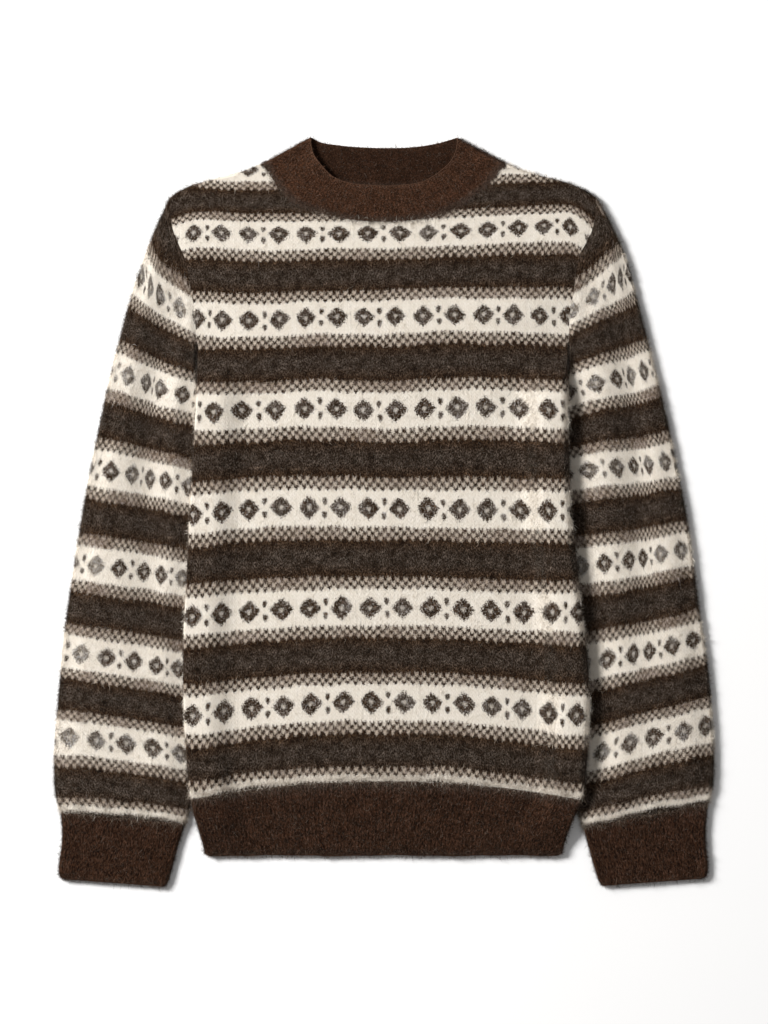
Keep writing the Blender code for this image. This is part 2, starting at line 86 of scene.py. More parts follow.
# Shoulder seams from the shoulder points in to the neck
SHOULDER = table(
    "across height",
    (-198.5, 292.2), (-192.0, 297.2), (-178.1, 304.0), (-163.2, 308.0), (-148.4, 311.6),
    (-133.6, 315.6), (-113.2, 323.7), (113.2, 323.7), (129.9, 317.2), (148.4, 311.6),
    (163.0, 308.0), (176.0, 304.0), (190.0, 297.0), (196.6, 292.2),
)
NECK_BACK = table(
    "across height",
    (-113.2, 323.7), (-110.8, 322.1), (-90.0, 311.0), (-48.0, 303.0), (0, 300.5),
    (48.0, 303.0), (90.0, 311.0), (110.8, 322.1), (113.2, 323.7),
)


def curve(at, x, y):
    """Smooth line through rising x: a cubic between two points, its slopes from the neighbours."""
    slope = np.gradient(y, x)
    i = np.clip(np.searchsorted(x, at, side="right") - 1, 0, len(x) - 2)
    step = x[i + 1] - x[i]
    t = np.clip((at - x[i]) / step, 0, 1)
    rise = (2 * t**3 - 3 * t**2 + 1) * y[i] + (3 * t**2 - 2 * t**3) * y[i + 1]
    return rise + step * ((t**3 - 2 * t**2 + t) * slope[i] + (t**3 - t**2) * slope[i + 1])


def distances(points):
    """Distance along a line of points, from the first to each."""
    return np.append(0, np.cumsum(np.linalg.norm(np.diff(points, axis=0), axis=1)))


def ease(t):
    """0 to 1 with level ends: 3 t squared less 2 t cubed."""
    t = np.clip(t, 0, 1)
    return t * t * (3 - 2 * t)


def body_edge(side, height):
    """Place across of a side seam or armhole."""
    return curve(height, BODY_EDGE["height"], BODY_EDGE[side])


def hem_seam(across):
    """Height of the hem seam: a parabola, lower towards the side seams."""
    return HEM_SEAM_MIDDLE - HEM_SEAM_DROP * (np.abs(across) / HEM_HALF_WIDTH) ** 2


def inset(across, height):
    """Distance in from the nearer side edge of the body."""
    return np.minimum(across - body_edge("left", height), body_edge("right", height) - across)


def lift(across, height):
    """Height of the back layer's underside, which climbs onto the sleeves' inner edges."""
    along = ease((UNDERARM - height) / LIFT_RUN) * ease((height - HEM_END) / (LIFT_FOOT - HEM_END))
    off_edge = 1 - ease((inset(across, height) - LIFT_WIDTH) / LIFT_SLOPE)
    return SLEEVE_UNDER_BODY * along * off_edge


def body_air(across, height):
    """Air between front and back: little at a fold or a seam, more in the middle."""
    above_arm = AIR_AT_ARMHOLE * ease((height - UNDERARM - FOLD_RADIUS) / AIR_FROM_SIDE)
    from_side = ease((inset(across, height) + above_arm) / AIR_FROM_SIDE)
    shoulder = np.interp(across, SHOULDER["across"], SHOULDER["height"])
    from_top = ease((shoulder - height) / AIR_FROM_SHOULDER)
    from_hem = ease((height - hem_seam(across)) / AIR_FROM_HEM)
    return FOLD_AIR + (BODY_AIR - FOLD_AIR) * from_side * from_top * from_hem


def outline(neckline):
    """Top edge of a panel: shoulder seam, neckline, shoulder seam."""
    half = len(SHOULDER["across"]) // 2
    return tuple(
        np.concatenate([SHOULDER[key][:half], neckline[key][1:-1], SHOULDER[key][half:]])
        for key in ("across", "height")
    )


def quarter_turn(radius):
    """Angles of a folded edge, from the slit where the linked edges meet."""
    return np.linspace(math.asin(SEAM_SHOWN / 2 / radius), math.pi / 2, QUARTER_STEPS + 1)


def panel_skin(layer, neckline, depth, relief=None):
    """One skin of a body panel, depth in from its outer face, as a grid of points.

    Columns keep their distance from the nearer side edge, and in the middle they run down from the
    neckline. Rows keep their share of the way from the hem seam to the start of the shoulder fold.
    A folded edge is a quarter turn round the middle of the two layers: distance in = fold radius -
    radius cos(turn), height = radius sin(turn), up for the front and down for the back. The side
    folds are squeezed to a share of that width.
    """
    radius = FOLD_RADIUS - depth
    turn = quarter_turn(radius)
    along = FOLD_RADIUS * np.linspace(0, 1, QUARTER_STEPS + 1)
    folded_in = FOLD_RADIUS - radius * np.cos(turn)
    middle_columns = np.linspace(-NECK_CORNER, NECK_CORNER, MIDDLE_COLUMNS)
    share_to_arm = np.linspace(0, 1, ROWS_BELOW) * ARM_SHARE
    share_above = np.linspace(ARM_SHARE + ARM_STEP, 1, ROWS_ABOVE)
    share = np.concatenate([share_to_arm, share_above])
    rows, start = len(share) + QUARTER_STEPS, len(share)
    beside_arm = np.arange(rows) >= ROWS_BELOW
    edge_in = np.where(beside_arm[:, None], along, depth + (folded_in - depth) * ROLL_WIDTH)
    edge_in = np.concatenate([edge_in, np.tile(BESIDE_EDGE, (rows, 1))], axis=1)
    count = edge_in.shape[1]
    x = np.zeros((rows, 2 * (count + JOINING_COLUMNS) + MIDDLE_COLUMNS))
    y = np.linspace(HEM_SEAM_MIDDLE, SHOULDER_POINT, rows)[:, None] + x
    for _ in range(8):
        x[:, :count] = body_edge("left", y[:, :count]) + edge_in
        x[:, -count:] = body_edge("right", y[:, -count:]) - edge_in[:, ::-1]
        inner = count + JOINING_COLUMNS
        x[:, inner:-inner] = middle_columns
        near, far = x[:, [count - 1, -count]], x[:, [inner, -inner - 1]]
        for step in range(1, JOINING_COLUMNS + 1):
            part = step / (JOINING_COLUMNS + 1)
            x[:, [count - 1 + step, -count - step]] = near + (far - near) * part
        top = np.interp(x[-1], *outline(neckline))
        bottom = hem_seam(x[0])
        is_neck = np.abs(x[-1]) < NECK_CORNER - 0.01
        y[:start] = bottom + (top - FOLD_RADIUS - bottom) * share[:, None]
        y[start:] = top - np.where(is_neck, along[-2::-1, None], folded_in[-2::-1, None])
    sine = np.ones(x.shape)
    sine[:ROWS_BELOW, : QUARTER_STEPS + 1] = np.sin(turn)
    sine[:ROWS_BELOW, -QUARTER_STEPS - 1 :] = np.sin(turn[::-1])
    sine[start:] = np.where(is_neck, 1.0, np.sin(turn[-2::-1])[:, None])
    z = lift(x, y) + FOLD_RADIUS
    if layer == "front":
        z += radius * sine + body_air(x, y) - FOLD_AIR
        if relief is not None:
            z += relief(x, y)
    else:
        z -= radius * sine
    return np.stack([x, y, z], axis=-1)


# The knit: heights of the middle of the thin cream line and of the six cream bands, at seven
# places across, and the rows that they are counted as. The last line is on the shoulder.
STITCH, KNIT_ROW = 3.57, 3.85
BAND_ROWS = np.array([-13.1, 4.8, 28.8, 52.8, 76.8, 100.8, 124.8, 144.3])
BAND_ACROSS = np.array([-175.3, -119.6, -64.0, 0.0, 61.2, 116.9, 172.5])
BODY_BANDS = np.array([
    (-260.6, -251.4, -246.7, -245.8, -246.7, -254.1, -261.1),
    (-188.7, -182.3, -177.8, -176.4, -177.6, -181.8, -189.4),
    (-97.1, -92.5, -89.8, -89.1, -90.2, -93.0, -93.3),
    (-3.2, 3.0, 4.0, 3.0, 2.3, 1.4, 0.9),
    (93.0, 93.9, 96.5, 93.7, 97.2, 96.7, 93.9),
    (179.3, 177.4, 180.6, 181.1, 183.4, 182.5, 181.1),
    (260.8, 257.8, 258.2, 258.8, 260.8, 264.0, 266.6),
    (307.9, 306.1, 307.5, 309.8, 309.8, 313.0, 314.0),
])
# The lengthwise lines through seven of the fourteen diamonds, on each cream band from the lowest,
# and the stitches that they are counted as. A repeat is 15 stitches with two diamonds.
DIAMOND_STITCHES = np.array([2.5, 10.5, 32.5, 55.5, 77.5, 92.5, 100.5])
DIAMOND_ACROSS = np.array([
    (-177.8, -148.5, -67.7, 19.0, 100.3, 152.9, 178.6),
    (-178.1, -151.0, -69.0, 17.3, 99.7, 155.8, 180.4),
    (-177.2, -151.0, -69.5, 14.5, 96.2, 152.4, 179.0),
    (-184.6, -158.0, -74.0, 10.8, 94.2, 152.4, 179.9),
    (-173.4, -150.0, -72.3, 10.2, 91.9, 144.3, 172.0),
    (-176.8, -151.5, -72.3, 15.2, 96.7, 148.6, 172.9),
])


def between(at, lines, values):
    """Value at places between rising lines: each line's own value on it, even steps between them,
    and the last two lines' step beyond the ends."""
    i = np.clip((at > lines).sum(axis=0) - 1, 0, len(lines) - 2)
    low = np.take_along_axis(lines, i[None], axis=0)[0]
    high = np.take_along_axis(lines, i[None] + 1, axis=0)[0]
    return values[i] + (values[i + 1] - values[i]) * (at - low) / (high - low)


def body_stitches(x, y):
    """Stitches across and rows up at places on the body."""
    bands = np.stack([curve(x, BAND_ACROSS, line) for line in BODY_BANDS])
    rows = between(y, bands, BAND_ROWS)
    lines = np.stack([curve(rows, BAND_ROWS[1:-1], line) for line in DIAMOND_ACROSS.T])
    # Towards the shoulder points the rows bend down, more on the right
    corner = 3.3 * np.clip((-x - 166) / 31, 0, 1) ** 2 + 6.0 * np.clip((x - 168) / 25, 0, 1) ** 2
    bent = corner * ease((rows - 112) / 10) * ease((142 - rows) / 9)
    drawn_up = 2.0 * ease((-x - 160) / 30) * ease((rows - 138) / 5)
    return np.stack([between(x, lines, DIAMOND_STITCHES), rows + bent - drawn_up], axis=-1)


def unrolled(skin, stitches):
    """Stitches and rows on the folds, which go on round them by the length of cloth."""
    placed = stitches.copy()
    for step in range(QUARTER_STEPS, 0, -1):
        left = np.linalg.norm(skin[:, step] - skin[:, step - 1], axis=-1)
        right = np.linalg.norm(skin[:, -step] - skin[:, -step - 1], axis=-1)
        placed[:, step - 1, 0] = placed[:, step, 0] - left / STITCH
        placed[:, -step, 0] = placed[:, -step - 1, 0] + right / STITCH
    for row in range(len(skin) - QUARTER_STEPS, len(skin)):
        up = np.linalg.norm(skin[row] - skin[row - 1], axis=-1)
        placed[row, :, 1] = placed[row - 1, :, 1] + up / KNIT_ROW
    return placed


def to_linear(colour):
    """Linear red, green and blue from an sRGB hex value."""
    parts = [int(colour[i : i + 2], 16) / 255 for i in (1, 3, 5)]
    return [p / 12.92 if p <= 0.04045 else ((p + 0.055) / 1.055) ** 2.4 for p in parts] + [1]


def add(tree, kind, inputs=(), **settings):
    """Adds one node. A kind in capitals is a Math node's operation, and one for a vector follows
    a space. Inputs go by name or by place, each a value, a socket or a node, which stands for its
    first output."""
    if kind.isupper():
        kind = "Math " + kind
    kind, _, operation = kind.partition(" ")
    node = tree.nodes.new("ShaderNode" + kind)
    if operation:
        settings["operation"] = operation
    for key, value in settings.items():
        setattr(node, key, value)
    for key, value in inputs.items() if isinstance(inputs, dict) else enumerate(inputs):
        if isinstance(value, bpy.types.Node):
            value = value.outputs[0]
        if isinstance(value, bpy.types.NodeSocket):
            tree.links.new(value, node.inputs[key])
        else:
            node.inputs[key].default_value = value
    return node


CREAM = to_linear("#DCD3C6")
CHECK_BY_DARK = to_linear("#B0A191")
CHECK_BY_CREAM = to_linear("#CDC2B3")
CHECK_DARK = to_linear("#33241A")
CHECK_BLENDED = to_linear("#756355")
MOTIF = to_linear("#3A2A1D")
BROWN = to_linear("#312114")
CHARCOAL = to_linear("#362B22")
RIB = to_linear("#170B04")
V_RISE = 0.7  # a knitted V's arms end so many rows above its point
BAND_HEIGHT = 24.0
PALE_FIBRES = 0.28


def specks(tree, place, across, up):
    """Fibre ends as specks of their own brightness, so many to a stitch, from -0.5 to 0.5."""
    scaled = add(tree, "VectorMath MULTIPLY", (place, (across, up, 0)))
    whole = add(tree, "VectorMath FLOOR", (scaled,))
    own = add(tree, "TexWhiteNoise", {"Vector": whole}, noise_dimensions="2D")
    return add(tree, "SUBTRACT", (own, 0.5))


def shaded(tree, colour, gain):
    """Colour times gain, redder where that darkens it and greyer where it lightens it."""
    lightened = add(tree, "MapRange", (gain, 0.3, 1.7))
    tint = add(tree, "MixRGB", (lightened, (1.12, 0.97, 0.76, 1), (0.88, 1.03, 1.24, 1)))
    tinted = add(tree, "MixRGB", (1.0, colour, tint), blend_type="MULTIPLY")
    return add(tree, "MixRGB", (1.0, tinted, gain), blend_type="MULTIPLY")


def stitch_shape(tree, u, v):
    """How far off a wale's middle a place is, 0 to 1, and its rows above the points of the Vs."""
    across = add(tree, "FRACT", (u,))
    two_sided = add(tree, "MULTIPLY_ADD", (across, 2.0, -1.0))
    off_middle = add(tree, "ABSOLUTE", (two_sided,))
    return off_middle, add(tree, "MULTIPLY_ADD", (off_middle, -V_RISE, v))


def from_middle(tree, value, middle):
    """Distance of a value from a middle one, either way."""
    return add(tree, "ABSOLUTE", (add(tree, "SUBTRACT", (value, middle)),))


def striped_colours(tree, rubbing=0.0):
    """Nodes of the knitting chart. Returns the colour, and the relief of the stitches.

    Each stitch is a V: its row is the whole part of rows - rise x distance from its middle. Counted
    in rows, a band has 9 of cream with diamonds, 3 of check, 9 of brown and charcoal, 3 of check.
    Rubbing is how much further, in stitches, the nap blurs the pattern than on the body.
    """
    place = add(tree, "UVMap", uv_map="stitches")
    wander, raised_fibres, speck, rubbed, broken, tuft = (
        add(tree, "TexNoise", (place, 0, *sizes), noise_dimensions="2D")
        for sizes in (
            (0.16, 1.0),  # the wales wander, in waves some six stitches long
            (3.8, 3.0, 0.8),  # raised fibres blur each edge over about half a stitch
            (2.1, 3.0, 0.75),  # cream fibres lie over the motifs in specks
            (0.09, 2.0),  # and over some motifs more than over others
            (0.9, 2.0),  # strands behind show here and there
            (0.42, 4.0, 0.65),  # the nap gathers in tufts
        )
    )
    uneven = add(tree, "VectorMath MULTIPLY_ADD", (wander.outputs["Color"], (0.9, 1.1, 0), place))
    blur = (1.6 + rubbing, 1.8 + rubbing, 0)
    blurred = add(tree, "VectorMath MULTIPLY_ADD", (raised_fibres.outputs["Color"], blur, uneven))
    mean = (0.45 + blur[0] / 2, 0.55 + blur[1] / 2, 0)
    centred = add(tree, "VectorMath SUBTRACT", (blurred, mean))
    u, v = add(tree, "SeparateXYZ", (centred,)).outputs[:2]
    off_middle, raised = stitch_shape(tree, u, v)
    row = add(tree, "FLOOR", (raised,))
    column = add(tree, "FLOOR", (u,))
    # The lowest dark band and its check are a row narrower each, and two rows of cream end in rib
    is_low = add(tree, "LESS_THAN", (row, -11.5))
    is_line = add(tree, "LESS_THAN", (row, -13.5))
    is_rib = add(tree, "LESS_THAN", (raised, -14.5))
    left_out = add(tree, "ADD", (is_low, is_line))
    counted = add(tree, "SUBTRACT", (row, left_out))
    in_band = add(tree, "FLOORED_MODULO", (counted, BAND_HEIGHT))
    band = from_middle(tree, in_band, 16.0)
    # Diamonds in the middle rows, round stitches 2 and 10 of 15, and a pair of dots on stitch 6.
    # Their corners are rounded by the nap: across to the power 1.2 + up to the power 1.2
    in_repeat = add(tree, "FLOORED_MODULO", (u, 15.0))
    nearest = add(tree, "MINIMUM", [from_middle(tree, in_repeat, at) for at in (2.5, 10.5)])
    gentle = add(tree, "MULTIPLY_ADD", (off_middle, -V_RISE / 2, v))
    gentle_row = add(tree, "FLOORED_MODULO", (gentle, BAND_HEIGHT))
    rows_off = from_middle(tree, gentle_row, 4.5 + V_RISE / 4)
    wide = add(tree, "POWER", (nearest, 1.2))
    tall = add(tree, "POWER", (rows_off, 1.2))
    smooth_size = add(tree, "ADD", (wide, tall))
    ragged = add(tree, "SUBTRACT", (speck, 0.5))
    size = add(tree, "MULTIPLY_ADD", (ragged, 3.6, smooth_size))
    filled = add(tree, "MapRange", (size, 3.05, 3.65, 1.0, 0.0))
    opened = add(tree, "MapRange", (smooth_size, 0.2, 0.8, 0.35))
    diamond = add(tree, "MULTIPLY", (filled, opened))
    from_dot = add(tree, "SUBTRACT", (in_repeat, 6.5))
    dot_across = add(tree, "MULTIPLY", (from_dot, from_dot))
    dot_up = add(tree, "SUBTRACT", (rows_off, 1.7))
    dot_tall = add(tree, "MULTIPLY", (dot_up, dot_up))
    dot_far = add(tree, "MULTIPLY_ADD", (dot_across, 2.2, dot_tall))
    dot = add(tree, "MapRange", (dot_far, 0.6, 1.05, 1.0, 0.0))
    shapes = add(tree, "MAXIMUM", (diamond, dot))
    speckled = add(tree, "MapRange", (speck, 0.66, 0.54, 0.7 - 0.2 * rubbing))
    kept = add(tree, "MapRange", (rubbed, 0.45, 0.66, 1.0, 0.95 - 0.35 * rubbing))
    shown = add(tree, "MULTIPLY", (speckled, kept))
    covered = add(tree, "MULTIPLY", (shapes, shown))
    motif = add(tree, "SUBTRACT", (covered, is_low), use_clamp=True)
    both = add(tree, "ADD", (column, row))
    odd = add(tree, "FLOORED_MODULO", (both, 2.0))
    # Charcoal heather runs into brown without an edge
    smooth_row = add(tree, "FLOORED_MODULO", (v, BAND_HEIGHT))
    smooth_band = from_middle(tree, smooth_row, 16.8)
    brownness = add(tree, "MapRange", (smooth_band, 1.2, 4.0))
    dark = add(tree, "MixRGB", (brownness, CHARCOAL, BROWN))
    # In places the nap has blended the checks, which are paler next to the cream
    blending = add(tree, "MapRange", (rubbed, 0.45, 0.7, 0.0, 0.4 + 0.5 * rubbing))
    creamward = add(tree, "MapRange", (band, 5.2, 7.2))
    light = add(tree, "MixRGB", (creamward, CHECK_BY_DARK, CHECK_BY_CREAM))
    # Painted shade: a light check stitch darkens towards the groove between the wales.
    groove = add(tree, "POWER", (off_middle, 4.0))
    groove_shade = add(tree, "MULTIPLY_ADD", (groove, -0.75, 1.0))
    light_share = add(tree, "MULTIPLY", (odd, groove_shade))
    clear = add(tree, "MixRGB", (light_share, CHECK_DARK, light))
    check = add(tree, "MixRGB", (blending, clear, CHECK_BLENDED))
    is_check = add(tree, "GREATER_THAN", (band, 4.5))
    is_cream = add(tree, "GREATER_THAN", (band, 7.5))
    # Strands behind show as a darker line at stitch 14 of a repeat
    on_strand = add(tree, "COMPARE", (in_repeat, 14.0, 0.1))
    visible = add(tree, "MapRange", (broken, 0.45, 0.7, 0.0, 0.35))
    strands = add(tree, "MULTIPLY", (on_strand, visible))
    pattern = dark
    for share, over in (
        (is_check, check), (is_cream, CREAM), (motif, MOTIF), (is_rib, RIB), (strands, MOTIF)
    ):
        pattern = add(tree, "MixRGB", (share, pattern, over))
    # Flecks of lighter and darker fibre, drawn about 1 mm wide, coarser than real ones
    flecks = []
    for turn, scale in ((0.7, (3.4, 1.9, 1)), (-0.8, (3.2, 2.0, 1))):
        way = add(tree, "Mapping", {"Vector": place, "Rotation": (0, 0, turn), "Scale": scale})
        flecks.append(add(tree, "TexNoise", (way, 0, 1.0, 3.0, 0.7), noise_dimensions="2D"))
    fleck = add(tree, "MAXIMUM", flecks)
    # Flecks, tufts and fibre ends vary a dark colour more than a light one
    brightness = add(tree, "RGBToBW", (pattern,))
    gain = 1.0
    for varied, middle, in_dark, in_light in (
        (fleck, 0.55, 13.0, 0.35),
        (tuft, 0.5, 3.4, 0.2),
        (specks(tree, centred, 4.3, 4.3), 0, 1.5, 0.1),
    ):
        spread = add(tree, "MapRange", (brightness, 0.03, 0.3, in_dark, in_light))
        off = add(tree, "SUBTRACT", (varied, middle))
        own = add(tree, "MULTIPLY_ADD", (off, spread, 1.0))
        gain = add(tree, "MULTIPLY", (gain, own))
    bounded = add(tree, "MAXIMUM", (gain, 0.16))
    # Relief: the groove between wales, each row's roundness, and the fibres
    clean = add(tree, "SeparateXYZ", (uneven,))
    off_wale, clean_row = stitch_shape(tree, *clean.outputs[:2])
    part_row = add(tree, "FRACT", (clean_row,))
    round_row = add(tree, "MULTIPLY", (part_row, 3.1416))
    row_height = add(tree, "SINE", (round_row,))
    grooved = add(tree, "POWER", (off_wale, 4.0))
    knit = add(tree, "MULTIPLY_ADD", (grooved, -0.6, row_height))
    return shaded(tree, pattern, bounded), add(tree, "MULTIPLY_ADD", (fleck, 2.2, knit))


def matt(name, colour="#FFFFFF", roughness=0.95, specular=0.02):
    """A matt material of one colour, and its shader."""
    material = bpy.data.materials.new(name)
    material.use_nodes = True
    shader = material.node_tree.nodes["Principled BSDF"]
    shader.inputs["Base Color"].default_value = to_linear(colour)
    shader.inputs["Roughness"].default_value = roughness
    shader.inputs["Specular IOR Level"].default_value = specular
    return material, shader


def wool(name, colours, pale_share):
    """Brushed wool: matt, with a soft sheen from its fibres. The cloth itself has the knit's
    relief, and the nap's separate fibres have some paler ones among them."""
    material, shader = matt(name)
    tree = material.node_tree
    shader.inputs["IOR"].default_value = 1.54
    shader.inputs["Sheen Weight"].default_value = 0.04
    shader.inputs["Sheen Roughness"].default_value = 0.6
    shader.inputs["Sheen Tint"].default_value = (1.0, 0.91, 0.8, 1)
    colour, height = colours(tree)
    if pale_share:
        place = add(tree, "UVMap", uv_map="stitches")
        own = add(tree, "TexWhiteNoise", {"Vector": place}, noise_dimensions="2D")
        few = add(tree, "POWER", (own, 5.0))
        share = add(tree, "MULTIPLY", (few, pale_share))
        colour = add(tree, "MixRGB", (share, colour, to_linear("#D8CCBC")))
    else:
        bump = add(tree, "Bump", {"Strength": 0.4, "Distance": 0.35 * MM, "Height": height})
        tree.links.new(bump.outputs[0], shader.inputs["Normal"])
    tree.links.new(colour.outputs[0], shader.inputs["Base Color"])
    return material


striped_cloth = wool("brushed_striped_stockinette", striped_colours, 0)
striped_nap = wool("striped_wool_nap", striped_colours, PALE_FIBRES)


def put_mesh(name, points, faces, maps, material):
    """An object from points in millimetres, faces with equal corners and maps by corner."""
    mesh = bpy.data.meshes.new(name)
    mesh.vertices.add(len(points))
    mesh.vertices.foreach_set("co", (points * MM).astype(np.float32).ravel())
    mesh.loops.add(faces.size)
    mesh.loops.foreach_set("vertex_index", faces.astype(np.int32).ravel())
    mesh.polygons.add(len(faces))
    starts = np.arange(0, faces.size, faces.shape[1], dtype=np.int32)
    mesh.polygons.foreach_set("loop_start", starts)
    mesh.update(calc_edges=True)
    for label, corners in maps.items():
        layer = mesh.uv_layers.new(name=label)
        layer.uv.foreach_set("vector", corners.astype(np.float32).ravel())
    mesh.materials.append(material)
    piece = bpy.data.objects.new(name, mesh)
    bpy.context.scene.collection.objects.link(piece)
    return piece


def quads(grid):
    """Four corners for each cell of a grid, in turn round it."""
    return np.stack([grid[:-1, :-1], grid[:-1, 1:], grid[1:, 1:], grid[1:, :-1]], axis=2)


def cloth(name, skins, stitches, material, ring=False):
    """A closed wall between two grids. Its map is in stitches and rows, and a second one lays the
    outer face over most of a sheet and the inner face beside it."""
    rows, columns = stitches.shape[:2]
    points = np.concatenate([skin.reshape(-1, 3) for skin in skins])
    index = np.arange(rows * columns).reshape(rows, columns)
    across = np.arange(columns + 1) / (columns - 1 + ring)
    spot = np.stack(np.meshgrid(across, np.arange(rows) / (rows - 1)), -1)
    spots = spot[:, : columns + ring]
    if ring:
        index = np.concatenate([index, index[:, :1]], axis=1)
    under = index + rows * columns
    on_outer = 0.01 + spots * (0.84, 0.98)
    on_inner = (0.875, 0.01) + spots * (0.115, 0.98)
    faces, layout = [], []
    for face, sheet, order in ((index, on_outer, 1), (under, on_inner, -1)):
        faces.append(quads(face).reshape(-1, 4)[:, ::order])
        layout.append(quads(sheet).reshape(-1, 4, 2)[:, ::order])
    borders = [(under, index, (0, slice(None))), (index, under, (-1, slice(None)))]
    if not ring:
        borders += [(index, under, (slice(None), 0)), (under, index, (slice(None), -1))]
    for top, bottom, where in borders:
        a, b, edge = top[where], bottom[where], on_outer[where]
        faces.append(np.stack([a[:-1], a[1:], b[1:], b[:-1]], axis=-1))
        out = np.sign(edge.mean(0) - 0.45)[None] * 0.004 * (np.ptp(edge, axis=0) < 1e-6)
        near, far = (edge, edge + out) if top is index else (edge + out, edge)
        layout.append(np.stack([near[:-1], near[1:], far[1:], far[:-1]], axis=1))
    faces, layout = np.concatenate(faces), np.concatenate(layout)
    corner = points[faces]
    edges = corner[:, 1:] - corner[:, :1]
    volume = sum((corner[:, 0] * np.cross(edges[:, i], edges[:, i + 1])).sum() for i in (0, 1))
    if volume < 0:
        faces, layout = faces[:, ::-1], layout[:, ::-1]
    knit = np.concatenate([stitches.reshape(-1, 2)] * 2)[faces]
    piece = put_mesh(name, points, faces, {"stitches": knit, "OFBake": layout}, material)
    piece.data.polygons.foreach_set("use_smooth", np.ones(len(faces), bool))
    piece.data.set_sharp_from_angle(angle=math.radians(55))
    return piece


def nap(name, skins, stitches, fibres, seed, material, share=None, ring=False):
    """Separate fibres over the first skin of a wall, in one mesh: their count, length and width.

    A fibre is a bent sliver of two triangles. It starts in the cloth, runs off in any direction at
    a low angle, and lies flatter and turned aside past its middle. Lengths spread evenly up to the
    mean and thin out beyond it. Each fibre has the stitch colour of its root.
    """
    draw = np.random.default_rng(seed)
    count, length, width = fibres
    outer, inner = skins
    if ring:
        outer, inner, stitches = (
            np.concatenate([grid, grid[:, :1]], axis=1) for grid in (outer, inner, stitches)
        )
    first, right = outer[:-1, :-1], outer[:-1, 1:]
    last, up = outer[1:, 1:], outer[1:, :-1]
    normal = np.cross(last - first, up - right)
    area = np.linalg.norm(normal, axis=-1)
    outward = (outer - inner)[:-1, :-1]
    normal *= (np.sign((normal * outward).sum(-1)) / np.maximum(area, 1e-9))[..., None]
    weight = area.copy()
    if share is not None:
        middle = (first + last) / 2
        weight *= share(middle[..., 0], middle[..., 1], normal[..., 2])
    rows, columns = weight.shape
    chosen = draw.choice(rows * columns, count, p=(weight / weight.sum()).ravel())
    i, j = np.divmod(chosen, columns)
    s, t = draw.random((2, count, 1))

    def inside(grid):
        low = grid[i, j] * (1 - s) + grid[i, j + 1] * s
        high = grid[i + 1, j] * (1 - s) + grid[i + 1, j + 1] * s
        return low * (1 - t) + high * t

    root, at = inside(outer), inside(stitches)
    facing = normal[i, j]
    side = right[i, j] - first[i, j]
    side /= np.linalg.norm(side, axis=-1, keepdims=True)
    other = np.cross(facing, side)
    heading = draw.uniform(0, 2 * math.pi, (count, 1))
    turned = heading + draw.normal(0, 0.7, (count, 1))
    # More upright on an edge, and shorter
    on_edge = 1 - np.abs(facing[:, 2:])
    rise = draw.normal(15, 9, (count, 1)) * (1 + 2.4 * on_edge)
    rise = np.radians(np.clip(rise, 1, 72))
    long = length * np.minimum(0.45 + draw.exponential(0.5, (count, 1)), 2.4) * (1 - 0.4 * on_edge)

    def step(angle, tilt):
        flat = side * np.cos(angle) + other * np.sin(angle)
        return flat * np.cos(tilt) + facing * np.sin(tilt)

    root = root - facing * 0.15
    middle = root + step(heading, rise) * long * 0.45
    tip = middle + step(turned, rise * (0.25 + 0.45 * on_edge)) * long * 0.55
    broad = np.cross(tip - root, draw.normal(0, 1, (count, 3)))
    thickness = width * draw.uniform(0.6, 1.2, (count, 1))
    broad *= thickness / 2 / np.linalg.norm(broad, axis=-1, keepdims=True)
    points = np.stack([root, middle + broad, middle - broad, tip], axis=1).reshape(-1, 3)
    points[:, 2] = np.maximum(points[:, 2], 0.05)
    number = np.arange(count)[:, None] * 4
    faces = np.stack([number + (0, 1, 2), number + (1, 3, 2)], axis=1).reshape(-1, 3)
    spots = (j[:, None] + s) / columns * 0.84, (i[:, None] + t) / rows * 0.98
    sheet = 0.01 + np.concatenate(spots, axis=1)
    corner = np.array([(0, 0), (1, 0), (0, 1), (1, 0), (1, 1), (0, 1)]) * 0.0018
    layout = sheet[:, None] + corner
    knit = np.repeat(at[:, None], 6, axis=1)
    return put_mesh(name, points, faces, {"stitches": knit, "OFBake": layout}, material)


def at_edges(x, y, up):
    """More nap shows on the folded edges and along the rib."""
    return 1 + 5 * (np.abs(up) < 0.95) + 1.5 * (y - hem_seam(x) < 5)


def dress(piece, node, with_pieces=()):
    """Fixes a sheet of cloth and its nap to the root body, and hides the solid that they stand for.
    """
    for part in (piece, *with_pieces):
        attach(part, "root")
        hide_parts(node)


def body_panel(layer, neckline, fibres, seed, share, relief=None):
    """A body panel and its nap, with the skins and the places in the knit that they are made on."""
    skins = [panel_skin(layer, neckline, depth, relief) for depth in (SUNK, CLOTH)]
    knit = unrolled(skins[0], body_stitches(skins[0][..., 0], skins[0][..., 1]))
    panel = cloth(layer + "_panel", skins, knit, striped_cloth)
    hairs = nap(layer + "_nap", skins, knit, fibres, seed, striped_nap, share)
    return panel, hairs, skins, knit


back, back_hairs, back_skins, _ = body_panel("back", NECK_BACK, (30000, 4.0, 0.4), 11, at_edges)
floor = bpy.data.objects.new("floor", bpy.data.meshes.new("floor"))
dress(back, "back", [back_hairs])

# ---- Front panel ---------------------------------------------------------------------------------
# The front half of the body, knitted like the back with a deeper neckline. It lies on the back
# panel with a little air between them and rolls over into the back at the sides and shoulders.

NECK_FRONT = table(
    "across height",
    (-113.2, 323.7), (-110.8, 320.1), (-98.3, 301.4), (-87.2, 289.0), (-57.5, 277.0),
    (-28.8, 270.8), (0, 269.0), (28.8, 270.8), (54.0, 276.3), (76.5, 288.5),
    (96.5, 303.8), (110.8, 320.8), (113.2, 323.7),
)
